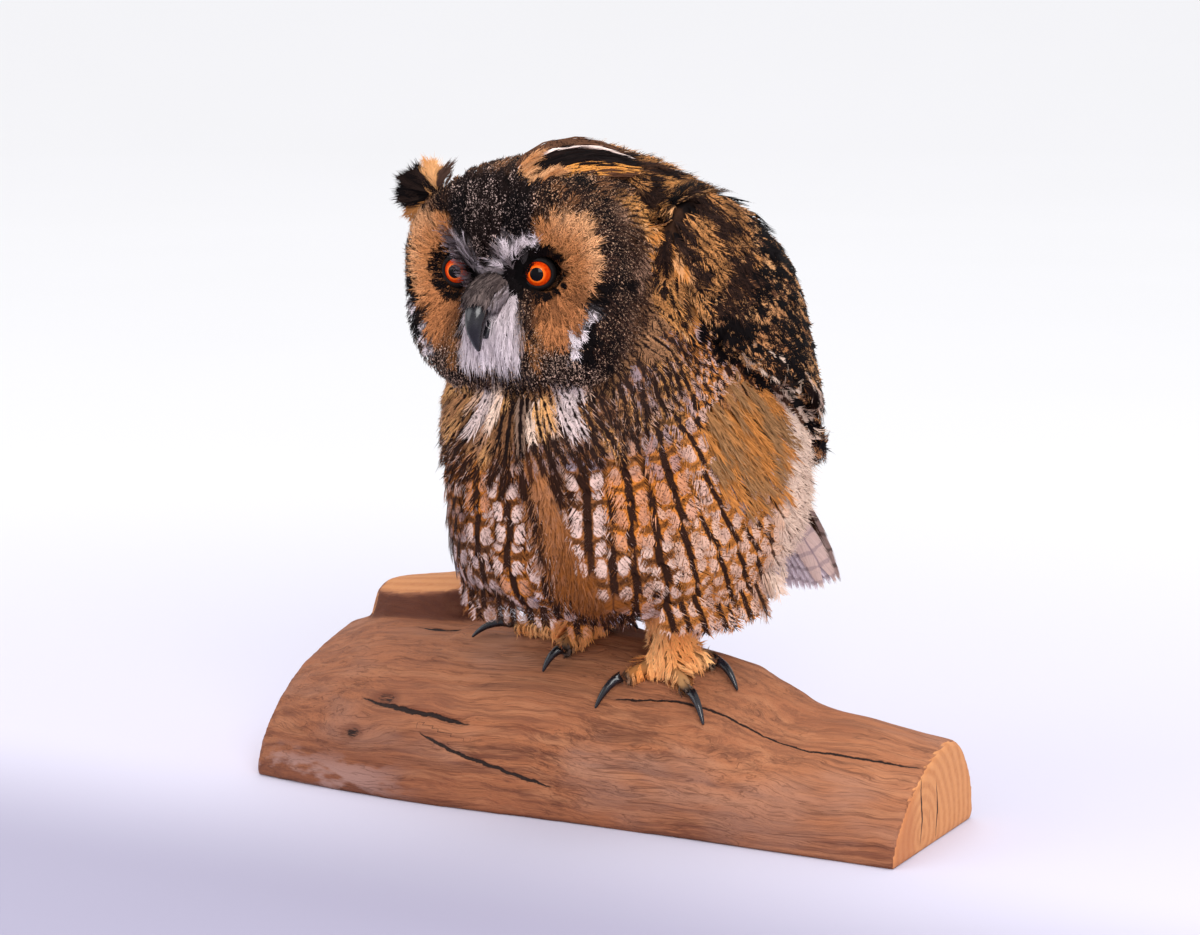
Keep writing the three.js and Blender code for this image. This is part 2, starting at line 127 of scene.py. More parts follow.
def lattice(i):
    """Fixed numbers from 0 to 1 for whole-numbered places, hashed so that they look random."""
    n = i[..., 0] * 374761393 + i[..., 1] * 668265263 + i[..., 2] * 1442695041
    n = (n ^ (n >> 13)) * 1274126177
    return ((n ^ (n >> 16)) & 0xFFFF) / 65535.0


def noise(p, scale, seed=0):
    """Smooth noise from 0 to 1 with features about scale across."""
    q = np.asarray(p) / scale + 31.7 * seed + 1000
    low = np.floor(q).astype(np.int64)
    f = q - low
    f = f * f * (3 - 2 * f)
    total = 0
    for corner in range(8):
        o = np.array([corner & 1, corner >> 1 & 1, corner >> 2 & 1])
        total = total + lattice(low + o) * np.where(o, f, 1 - f).prod(-1)
    return total


def clouds(p, scale, seed, start, end):
    """0 to 1 where the noise rises from start to end."""
    return step(noise(p, scale, seed), start, end)


def linear(r, g, b):
    """A display colour from 0 to 255 as linear light."""
    c = np.array([r, g, b]) / 255.0
    return np.where(c <= 0.04045, c / 12.92, ((c + 0.055) / 1.055) ** 2.4)


def between(low, high, share):
    """From one display colour to another by share, as linear light."""
    return mixed(linear(*low), linear(*high), share)


# ---------------------------------------------------------------- colours

TAWNY = linear(176, 112, 70)
GOLD = linear(196, 116, 46)
GOLD_PALE = linear(204, 142, 84)
CREAM = linear(226, 196, 176)
WHITE = linear(222, 208, 212)
BLACK = linear(13, 9, 10)
BLACK_BROWN = linear(27, 17, 15)
STREAK = linear(44, 25, 18)
BROWN = linear(80, 50, 35)
PINK_WHITE = linear(208, 176, 166)
SPOT_SHADE_LILAC = linear(160, 148, 162)
TOE_GOLD = linear(252, 162, 86)

# ---------------------------------------------------------------- camera, floor and light

CAMERA_AZIMUTH, CAMERA_ELEVATION = 28.3, 9.0
CAMERA_DISTANCE = 1.270
CAMERA_TARGET = Vector((-0.006, 0.0093, 0.1466))
CAMERA_LENS = 86.55
LIGHTS_AIM = Vector((0, 0, 0.15))
SOFTBOXES = (  # name, place, size in metres, power, colour
    ("key_softbox", (1.3, -1.6, 1.2), 1.2, 46, (1.0, 0.985, 0.97)),
    ("fill_softbox", (-1.6, -1.3, 0.9), 1.4, 13, (0.97, 0.98, 1.0)),
    ("top_softbox", (0.0, 0.4, 2.0), 1.6, 14, (1.0, 0.99, 0.98)),
)
FLOOR_RINGS, FLOOR_SIDES, FLOOR_REACH = 24, 96, 9.0
FLOOR_FLAT, FLOOR_LIFT = 4.0, 0.25  # beyond this radius the sheet curves up


def added(name, data, at=None, facing=None):
    """A new object in the scene, at a place and looking along facing."""
    made = bpy.data.objects.new(name, data)
    if facing is not None:
        made.location = at
        made.rotation_mode = "QUATERNION"
        made.rotation_quaternion = facing.to_track_quat("-Z", "Y")
    bpy.context.scene.collection.objects.link(made)
    return made


def make_camera():
    az, el = math.radians(CAMERA_AZIMUTH), math.radians(CAMERA_ELEVATION)
    back = Vector((math.sin(az) * math.cos(el), -math.cos(az) * math.cos(el), math.sin(el)))
    data = bpy.data.cameras.new("camera")
    data.lens = CAMERA_LENS
    bpy.context.scene.camera = added("camera", data, CAMERA_TARGET + back * CAMERA_DISTANCE, -back)


def make_lights():
    for name, at, size, power, colour in SOFTBOXES:
        data = bpy.data.lights.new(name, "AREA")
        data.size, data.energy, data.color = size, power, colour
        added(name, data, at, LIGHTS_AIM - Vector(at))
    world = bpy.data.worlds.new("studio")
    world.use_nodes = True
    world.node_tree.nodes["Background"].inputs["Color"].default_value = (0.98, 0.98, 1.0, 1)
    world.node_tree.nodes["Background"].inputs["Strength"].default_value = 1.0
    bpy.context.scene.world = world
    bpy.context.scene.view_settings.view_transform = "Standard"


class Field:
    """One node's output, which takes ordinary arithmetic."""

    def __init__(self, graph, socket):
        self.graph, self.socket = graph, socket

    def __add__(self, other):
        return self.graph.maths("ADD", self, other)

    def __sub__(self, other):
        return self.graph.maths("SUBTRACT", self, other)

    def __rsub__(self, other):
        return self.graph.maths("SUBTRACT", other, self)

    def __mul__(self, other):
        return self.graph.maths("MULTIPLY", self, other)

    def __truediv__(self, other):
        return self.graph.maths("DIVIDE", self, other)

    def __pow__(self, other):
        return self.graph.maths("POWER", self, other)

    def __abs__(self):
        return self.graph.maths("ABSOLUTE", self)

    __rmul__ = __mul__


class Graph:
    """Short ways to add and join a material's nodes."""

    def __init__(self, name):
        self.material = bpy.data.materials.new(name)
        self.material.use_nodes = True
        self.tree = self.material.node_tree
        self.shader = self.tree.nodes["Principled BSDF"]

    def put(self, socket, value):
        """Joins a field to a socket, or sets the socket's own value."""
        if isinstance(value, Field):
            self.tree.links.new(value.socket, socket)
        elif socket.type == "RGBA":
            socket.default_value = (*value, 1.0)
        else:
            socket.default_value = value

    def node(self, kind, output=0, inputs=None, **settings):
        """A new node's output. inputs says what its sockets get, by name or number."""
        made = self.tree.nodes.new("ShaderNode" + kind)
        for key, value in settings.items():
            setattr(made, key, value)
        for key, value in (inputs or {}).items():
            self.put(made.inputs[key], value)
        return Field(self, made.outputs[output])

    def maths(self, operation, *values):
        return self.node("Math", 0, dict(enumerate(values)), operation=operation)

    def ramp(self, value, start, end, low=0.0, high=1.0):
        """value from start to end, smoothly taken from low to high."""
        return self.node("MapRange", 0, {
            "Value": value, "From Min": start, "From Max": end, "To Min": low, "To Max": high,
        }, interpolation_type="SMOOTHSTEP")

    def mix(self, share, a, b):
        return self.node("Mix", 2, {0: share, 6: a, 7: b}, data_type="RGBA", clamp_factor=True)

    def layered(self, colour, *layers):
        """A colour with others laid over it in turn, each by its share."""
        for share, over in layers:
            colour = self.mix(share, colour, over)
        return colour

    def place(self):
        return self.node("TexCoord", "Object")

    def attribute(self, name, output):
        return self.node("Attribute", output, attribute_name=name)

    def split(self, vector):
        first = self.node("SeparateXYZ", 0, {"Vector": vector})
        return [Field(self, socket) for socket in first.socket.node.outputs]

    def noise(self, vector, scale, detail=2.0, rough=0.5):
        return self.node("TexNoise", "Fac", {
            "Vector": vector, "Scale": scale, "Detail": detail, "Roughness": rough})

    def stretched(self, vector, scale):
        return self.node("Mapping", 0, {"Vector": vector, "Scale": scale})

    def surface(self, colour, roughness, bump=None, **more):
        """Sets the shader. bump is a height with its strength and distance."""
        if bump:
            height = dict(zip(("Height", "Strength", "Distance"), bump))
            self.put(self.shader.inputs["Normal"], self.node("Bump", 0, height))
        self.put(self.shader.inputs["Base Color"], colour)
        self.put(self.shader.inputs["Roughness"], roughness)
        for key, value in more.items():
            self.put(self.shader.inputs[key.replace("_", " ")], value)
        return self.material


def floor_material():
    """Lilac-white paper with painted light: it glows whiter with distance from the mount, and
    painted shade makes it darker towards the front.
    """
    g = Graph("studio_paper_painted_light")
    at = g.place()
    x, y, _ = g.split(at)
    behind = g.maths("SQRT", x * x + y * y) + y * 0.6
    far = g.ramp(behind, 0.06, 1.4)
    # painted shade: the paper is darker towards the front
    near = g.mix(g.ramp(y, -0.19, -0.02), linear(152, 148, 170), linear(200, 197, 214))
    tone = g.mix(far, near, linear(112, 112, 114))
    tone = g.mix(g.noise(at, 1.5) * 0.1, tone, linear(180, 177, 196))
    # painted light: the emission makes the paper glow whiter away from the mount
    return g.surface(tone, 0.75, Emission_Color=linear(252, 252, 254),
                     Emission_Strength=far * 0.715)


def ring_quads(rings, sides, strips):
    """Corners of the quads between neighbouring rings: two on a ring, then the two beyond them."""
    for r in range(strips):
        here, beyond = r * sides, (r + 1) % rings * sides
        for s in range(sides):
            after = (s + 1) % sides
            yield here + s, here + after, beyond + s, beyond + after


def make_floor():
    """A wide round sheet with a gently lifted rim, so no hard horizon shows."""
    verts = [(0.0, 0.0, 0.0)]
    for r in range(1, FLOOR_RINGS + 1):
        radius = FLOOR_REACH * (r / FLOOR_RINGS) ** 2
        lift = FLOOR_LIFT * max(0.0, radius - FLOOR_FLAT) ** 2
        for s in range(FLOOR_SIDES):
            a = 2 * math.pi * s / FLOOR_SIDES
            verts.append((radius * math.cos(a), radius * math.sin(a), lift))
    faces = [(0, 1 + s, 1 + (s + 1) % FLOOR_SIDES) for s in range(FLOOR_SIDES)]
    for a, b, c, d in ring_quads(FLOOR_RINGS, FLOOR_SIDES, FLOOR_RINGS - 1):
        faces.append((1 + a, 1 + c, 1 + d, 1 + b))
    mesh = bpy.data.meshes.new("studio_floor")
    mesh.from_pydata(verts, [], faces)
    mesh.shade_smooth()
    mesh.materials.append(floor_material())
    floor = added("studio_floor", mesh)


# ---------------------------------------------------------------- meshes


def node_mesh(name):
    """A CAD node's welded vertices, in row millimetres, their normals, and its triangles."""
    made = bmesh.new()
    made.from_mesh(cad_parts[name].data)
    bmesh.ops.remove_doubles(made, verts=made.verts, dist=2e-5)
    bmesh.ops.triangulate(made, faces=made.faces)
    made.normal_update()
    verts = np.array([v.co for v in made.verts]) / MM
    normals = np.array([v.normal for v in made.verts])
    faces = np.array([[v.index for v in f.verts] for f in made.faces])
    made.free()
    return verts, normals, faces


def reshaped(verts, faces, *modifiers):
    """Vertices, normals and faces after these modifiers."""
    mesh = bpy.data.meshes.new("reshaped")
    mesh.from_pydata([tuple(v) for v in verts], [], [tuple(f) for f in faces])
    obj = added("reshaped", mesh)
    for kind, settings in modifiers:
        modifier = obj.modifiers.new(kind, kind)
        for key, value in settings.items():
            setattr(modifier, key, value)
    seen = obj.evaluated_get(bpy.context.evaluated_depsgraph_get())
    made = bpy.data.meshes.new_from_object(seen)
    bpy.data.objects.remove(obj)
    bpy.data.meshes.remove(mesh)
    places, normals = np.empty((2, len(made.vertices) * 3), np.float32)
    made.vertices.foreach_get("co", places)
    made.vertex_normals.foreach_get("vector", normals)
    polygons = [tuple(p.vertices) for p in made.polygons]
    bpy.data.meshes.remove(made)
    return places.reshape(-1, 3).astype(float), normals.reshape(-1, 3).astype(float), polygons


def voxels(size):
    return "REMESH", {"mode": "VOXEL", "voxel_size": size, "adaptivity": 0.0}


def smoothing(rounds):
    return "SMOOTH", {"factor": 0.5, "iterations": rounds}


def fanned(polygons):
    """Triangles from polygons, each fanned from its first corner."""
    return np.array([(q[0], q[i], q[i + 1]) for q in polygons for i in range(1, len(q) - 1)])


def fast_mesh(name, verts, tris):
    """A smooth-shaded mesh from arrays of vertices, in row metres, and triangles."""
    mesh = bpy.data.meshes.new(name)
    mesh.vertices.add(len(verts))
    mesh.vertices.foreach_set("co", np.ascontiguousarray(verts, np.float32).ravel())
    mesh.loops.add(len(tris) * 3)
    mesh.loops.foreach_set("vertex_index", np.ascontiguousarray(tris, np.int32).ravel())
    mesh.polygons.add(len(tris))
    mesh.polygons.foreach_set("loop_start", np.arange(0, 3 * len(tris), 3, dtype=np.int32))
    mesh.update(calc_edges=True)
    mesh.shade_smooth()
    return mesh


def set_numbers(mesh, name, values):
    """A point attribute: one number, or three for a vector or colour."""
    kind, key = ("FLOAT", "value") if values.ndim == 1 else ("FLOAT_VECTOR", "vector")
    data = mesh.attributes.new(name, kind, "POINT").data
    data.foreach_set(key, np.ascontiguousarray(values, np.float32).ravel())


def piece(name, mesh, slot, *replaced):
    """An object that rides on the mount and may stand for CAD nodes."""
    made = added(name, mesh)
    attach(made, "root")
    if replaced:
        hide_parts(*replaced)


# ---------------------------------------------------------------- the skin

FLESH_STARTS = ("neck", "trunk", "wing", "primaries", "head", "leg", "toe")
FLESH = sorted(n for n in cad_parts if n.startswith(FLESH_STARTS))
SKIN_VOXEL = 2.2
SKIN_GROW = 0.5  # closes the thin gaps between the solids before they are joined
COAT_DEPTH = {"trunk": 4.6, "neck": 4.4, "wing": 3.4, "primaries": 2.2, "head": 2.8, "leg": 2.0,
              "toe": 1.1}
FACE_DEPTH = 1.2  # how much thinner the coat is on the facial discs
PARTS = sorted(COAT_DEPTH)
HEADS, LEG, NECK, PRIMARY, TOE, TRUNK, WING = range(len(PARTS))


class Skin:
    """The joined, smoothed and inset body, with which part each face belongs to."""

    def __init__(self):
        verts, faces, owners, base = [], [], [], 0
        for name in FLESH:
            v, n, f = node_mesh(name)
            verts.append(v + n * SKIN_GROW)
            faces.append(f + base)
            owners += [next(i for i, part in enumerate(PARTS) if name.startswith(part))] * len(f)
            base += len(v)
        solid = row_to_owl(np.concatenate(verts) * MM)
        faces = np.concatenate(faces)
        outer = BVHTree.FromPolygons([tuple(v) for v in solid], [tuple(f) for f in faces])
        v, n, f = reshaped(solid, faces, voxels(SKIN_VOXEL), smoothing(5))
        self.part = np.array([owners[outer.find_nearest(tuple(p))[2]] for p in v])
        depth = np.array([COAT_DEPTH[p] for p in PARTS])[self.part]
        depth = depth + SKIN_GROW - FACE_DEPTH * self.face(v)
        self.verts, self.normals, self.quads = reshaped(v - n * depth[:, None], f, smoothing(4))
        self.tree = BVHTree.FromPolygons([tuple(p) for p in self.verts], self.quads)
        self.tris = fanned(self.quads)
        a, b, c = self.verts[self.tris].transpose(1, 0, 2)
        self.area = 0.5 * np.linalg.norm(np.cross(b - a, c - a), axis=1)
        self.first = np.array([q[0] for q in self.quads])

    @staticmethod
    def face(p):
        """1 on the facial discs, where the coat is thin."""
        h = owl_to_head(p)
        near = ((np.abs(h[:, 1]) - 26) / 30) ** 2 + ((h[:, 2] + 4) / 42) ** 2
        return step(near, 1.2, 0.8) * step(h[:, 0], 18, 28)

    def nearest(self, points):
        """The skin's nearest points, the outward directions there, and which part they are on."""
        found = [self.tree.find_nearest(Vector(p)) for p in points]
        part = self.part[self.first[[hit[2] for hit in found]]]
        return np.array([hit[0] for hit in found]), np.array([hit[1] for hit in found]), part

    def towards(self, inside, way):
        """Where a line from outside, against way, meets the skin, and on which part."""
        hit = self.tree.ray_cast(inside + way * 200, -way)
        return (None, None) if hit[0] is None else (np.array(hit[0]), self.part[self.first[hit[2]]])

    def scatter(self, allowed, spacing, tries=7):
        """Points at least spacing apart over the triangles that allowed says, in a fixed order."""
        centre = self.verts[self.tris].mean(1)
        chance = self.area * allowed(centre, self.part[self.tris[:, 0]])
        total = chance.sum()
        count = int(tries * total / spacing**2)
        chosen = rng.choice(len(self.tris), count, p=chance / total)
        a, b = rng.random((2, count))
        over = a + b > 1
        a, b = np.where(over, 1 - a, a), np.where(over, 1 - b, b)
        corner = self.verts[self.tris[chosen]]
        points = corner[:, 0] + a[:, None] * (corner[:, 1] - corner[:, 0]) + b[:, None] * (
            corner[:, 2] - corner[:, 0])
        return points[self.apart(points, spacing)]

    @staticmethod
    def apart(points, spacing):
        """Which points to keep so that no two are nearer than spacing."""
        cells = np.floor(points / spacing).astype(int)
        around = [(i, j, k) for i in (-1, 0, 1) for j in (-1, 0, 1) for k in (-1, 0, 1)]
        taken, kept = {}, []
        for index, (point, (x, y, z)) in enumerate(zip(points.tolist(), cells.tolist())):
            others = (other for i, j, k in around for other in taken.get((x + i, y + j, z + k), ()))
            if all(math.dist(point, other) >= spacing for other in others):
                taken.setdefault((x, y, z), []).append(point)
                kept.append(index)
        return np.array(kept, int)


skin = Skin()

# ---------------------------------------------------------------- the lie of the coat


def disc_reach(h):
    """How far a head point is across its facial disc: 0 at the middle and 1 at the disc's edge."""
    l, u = np.abs(h[:, 1] - 0.5), h[:, 2]
    low = np.minimum(u, 0)
    across = np.abs(l - 30.5 - 0.12 * low) / np.maximum(17.0 + 0.24 * low, 4)
    return (across**2.6 + (np.abs(u + 1.5) / 30) ** 2.6) ** (1 / 2.6)


def from_eye(h):
    """How far a head point is from the axis of the eye on its side."""
    middle = np.where(h[:, 1] > 0, EYE_SIDE, -EYE_SIDE) - EYE_SHIFT
    return np.hypot(h[:, 1] - middle, h[:, 2] - EYE_UP)


def on_face(h):
    return step(h[:, 0], 20, 30)


def lores_flow(h):
    """Out every way from the eye's inner corner: up the brow, over the bill, down the chin."""
    side = np.where(h[:, 1] > 0, 1.0, -1.0)
    away = h - columns(33.0, side * 9.5, 1.5)
    away[:, 0] = 2.0
    away[:, 1] = np.where(h[:, 2] < -8, away[:, 1] * 0.45, away[:, 1])
    return unit(away)


def head_flow(h):
    """The way the feathers lie on the head, in the head's frame."""
    f, l, u = h.T
    side = np.where(l > 0, 1.0, -1.0)
    crown = unit(columns(-1, 0.012 * l, 0.25))
    rear = unit(columns(-0.7, 0.1 * side, -0.75))
    chin = unit(columns(0.1, 0.012 * l, -1))
    outwards = unit(h - columns(EYE_FORWARD + 4, side * EYE_SIDE, EYE_UP))
    flow = mixed(rear, crown, step(u, 8, 26))
    flow = mixed(flow, outwards, on_face(h) * step(disc_reach(h), 1.35, 1.1))
    flow = mixed(flow, lores_flow(h), step(np.abs(l), 17, 13) * step(f, 28, 33))
    return unit(mixed(flow, unit(chin + 0.35 * rear), step(u, -26, -38) * step(f, 5, 20)))


def body_flow(p):
    """The way the feathers lie on the body, in the owl's frame."""
    f, l, _ = p.T
    outward = np.clip(np.abs(l - LEAN) / 55, 0, 1.1)
    down = columns(-(0.06 + 0.62 * outward * step(f, 70, -10)), 0, -1)
    back = columns(-0.85, 0.1 * np.where(l > LEAN, 1.0, -1.0), -0.62)
    return unit(mixed(unit(down), unit(back), step(f, 5, -60)))


def wing_flow(p):
    front, rear = np.array([-0.45, 0, -0.9]), np.array([-0.84, 0, -0.54])
    return unit(mixed(rear, front, step(p[:, 0], 0, 26)))


def coat_flow(p, normal, part):
    """The way the coat lies at points of the skin, along the surface."""
    on_wing = np.isin(part, (WING, PRIMARY))[:, None]
    nape = ((part == NECK) & (p[:, 2] > 200))[:, None]
    flow = np.where(on_wing, wing_flow(p), body_flow(p))
    flow = np.where((part == HEADS)[:, None], head_flow(owl_to_head(p)) @ HEAD.T, flow)
    flow = np.where(nape, unit(np.array([-0.75, 0, -0.6])), flow)
    return onto_plane(flow, normal)


def straight_flow(*way):
    """A lie that is the same way everywhere, along the surface."""
    return lambda p, normal, part: onto_plane(np.broadcast_to(way, p.shape), normal)


# ---------------------------------------------------------------- plumage: what each place wears

SHADES = ("ground", "mark", "spot")
GROUPS = {  # what the feather material reads together
    "lines": ("streak", "wobble", "pepper"), "crosses": ("bar", "period", "spotty"),
    "grit": ("salt", "blotch"),
}


def plain(count, ground):
    """What count feathers wear before any rule: a ground colour, and no marks."""
    made = {key: np.broadcast_to(colour, (count, 3))
            for key, colour in (("ground", ground), ("mark", STREAK), ("spot", PINK_WHITE))}
    for rules in GROUPS.values():
        made.update({rule: np.zeros(count) for rule in rules})
    made["period"] += 11.0
    return made


def wear(worn, where, **values):
    """Mixes values into what is worn, by the share where says."""
    for key, value in values.items():
        share = np.asarray(where)[..., None] if key in SHADES else where
        worn[key] = worn[key] + (value - worn[key]) * share


def band_gap(p):
    """How far points are outside the tawny band that widens down the breast into the right leg."""
    z = p[:, 2]
    return np.abs(p[:, 1] - 18 - 0.24 * (152 - z)) - 4.0 - 5.0 * step(z, 152, 104)


def breast_plumage(p):
    f, l, z = p.T
    worn = plain(len(p), between((122, 78, 50), (152, 90, 42), clouds(p, 15, 1, 0.3, 0.7)))
    cloud = noise(p, 20, 2)
    wear(worn, 1.0, streak=1.8, wobble=1.0, bar=0.85, spotty=1.0, pepper=0.3,
         period=10.0 + 2.5 * noise(p, 16, 34))
    wear(worn, step(l, 20, 45), ground=linear(146, 88, 44))
    gilt = clouds(p * np.array([1, 1, 0.5]), 12, 37, 0.6, 0.7)
    wear(worn, gilt, ground=GOLD, spotty=0.3)
    # pink-white spots with lilac-grey patches as painted shade; on the owl's left, the lit side,
    # they are painted paler and warmer as painted light
    wear(worn, 1.0, spot=mixed(PINK_WHITE, SPOT_SHADE_LILAC, clouds(p, 12, 3, 0.5, 0.7)))
    wear(worn, step(l, 30, 50) * step(z, 150, 130), spot=linear(216, 182, 166))
    wear(worn, step(cloud, 0.54, 0.74), spotty=0.4, pepper=0.6)
    bib = step(z, 158, 172) * step(f, -10, 20)
    wear(worn, bib, streak=1.3, wobble=2.4, spotty=0.5, pepper=0.5, mark=linear(40, 26, 22),
         ground=between((122, 82, 58), (196, 138, 84), clouds(p, 7, 20, 0.35, 0.65)))
    band = step(band_gap(p), 1.0, -2.0) * step(f, 38, 50) * step(z, 164, 156)
    wear(worn, band, ground=between((126, 72, 32), (164, 106, 66), step(z, 112, 158)),
         mark=linear(84, 48, 28), streak=0.2, bar=0.0, spotty=0.05, pepper=0.1)
    flank = step(f, 34, 18) * step(np.abs(l - LEAN), 38, 52) * step(f, -40, -20)
    wear(worn, flank, ground=mixed(GOLD, GOLD_PALE, 0.3), spotty=0.75, bar=0.5, streak=1.3)
    soft = step(np.hypot(f + 8, z - 172), 24, 16)
    wear(worn, soft, ground=mixed(linear(140, 104, 74), GOLD, noise(p, 9, 4)), streak=0.4, bar=0,
         spotty=0)
    pale = step(f, -24, -42)
    wear(worn, pale, ground=CREAM, mark=BROWN, streak=0.3, bar=0.1, spotty=0.1, pepper=0.0)
    return worn


def mantle_plumage(p):
    fine = noise(p, 8, 6)
    worn = plain(len(p), between((48, 31, 25), (104, 68, 48), clouds(p, 14, 5, 0.35, 0.6)))
    wear(worn, 1.0, mark=BLACK, spot=mixed(TAWNY, linear(226, 172, 118), noise(p, 10, 21)),
         streak=2.4, wobble=3.2, pepper=0.5, bar=0.0, period=8.0, salt=0.2, blotch=0.66)
    wear(worn, step(fine, 0.55, 0.66), blotch=0.85)
    wear(worn, step(fine, 0.42, 0.32), ground=BLACK_BROWN, streak=4.5, blotch=0.12, salt=0.15)
    return worn


def wing_plumage(p):
    f, z = p[:, 0], p[:, 2]
    worn = mantle_plumage(p)
    black = step(np.hypot((f + 38) / 1.2, z - 208), 20, 12)
    wear(worn, black, ground=BLACK_BROWN, blotch=0.2, salt=0.1)
    for spot_f, spot_z in ((29, 236), (24, 222), (33, 250)):
        spot = step(np.hypot((f - spot_f + 0.3 * (z - spot_z)) / 1.0, (z - spot_z) / 2.4), 4.6, 2.8)
        wear(worn, spot, ground=mixed(GOLD, GOLD_PALE, 0.5), streak=0.2, wobble=0.4, pepper=0.1,
             salt=0.0)
    rear = step(f, -62, -80)
    wear(worn, rear, ground=linear(60, 40, 34), streak=2.2, pepper=0.5, blotch=0.3)
    return worn


def neck_plumage(p):
    f, l, z = p.T
    cloud = noise(p, 10, 7)
    tan = between((168, 118, 80), (216, 160, 104), step(cloud, 0.3, 0.6))
    worn = plain(len(p), tan)
    wear(worn, 1.0, mark=BLACK_BROWN, streak=0.5, wobble=1.4, pepper=0.25)
    wear(worn, clouds(p * np.array([1, 1, 0.6]), 8, 8, 0.6, 0.68), ground=CREAM, streak=0.2)
    dark = clouds(p * np.array([1, 1, 0.5]), 6, 9, 0.56, 0.64)
    wear(worn, 0.8 * dark, streak=1.2, ground=mixed(linear(128, 86, 58), BLACK_BROWN, cloud))
    gap = np.minimum(np.abs(l + 11), np.abs(l - 27))
    white = step(gap, 6.5, 3.0) * step(f, 56, 64) * step(z, 170, 178)
    wear(worn, white, ground=linear(206, 186, 184), streak=0.3)
    low = step(z, 160, 150)
    wear(worn, low, ground=linear(104, 70, 50), streak=1.6, pepper=0.5)
    # soft grey-brown sides, and the golden nape with its dark streaks
    side = step(f, 60, 44) * step(z, 186, 200)
    wear(worn, side, ground=between((84, 56, 42), (164, 118, 84), step(cloud, 0.3, 0.7)),
         mark=BLACK_BROWN, streak=0.5, pepper=0.5)
    nape = step(f, 36, 26) * step(z, 206, 220)
    long = noise(p * np.array([0.8, 1, 0.5]), 8, 22)
    wear(worn, nape, ground=between((74, 47, 33), (200, 138, 80), step(long, 0.5, 0.6)),
         mark=BLACK_BROWN, streak=0.8, wobble=1.6, pepper=0.35)
    wear(worn, nape * step(long, 0.46, 0.36), ground=BLACK_BROWN, streak=2.5)
    return worn


def stripe(l, u, ends, wide, narrow):
    """1 along the line between two (l, u) ends, whose half width goes from wide to narrow."""
    (l0, u0), (l1, u1) = ends
    way = np.array([l1 - l0, u1 - u0], float)
    size = np.hypot(*way)
    t = np.clip(((l - l0) * way[0] + (u - u0) * way[1]) / size**2, 0, 1)
    off = np.hypot(l - l0 - t * way[0], u - u0 - t * way[1])
    half = wide + (narrow - wide) * t
    return step(off - half, 1.0, -1.0)


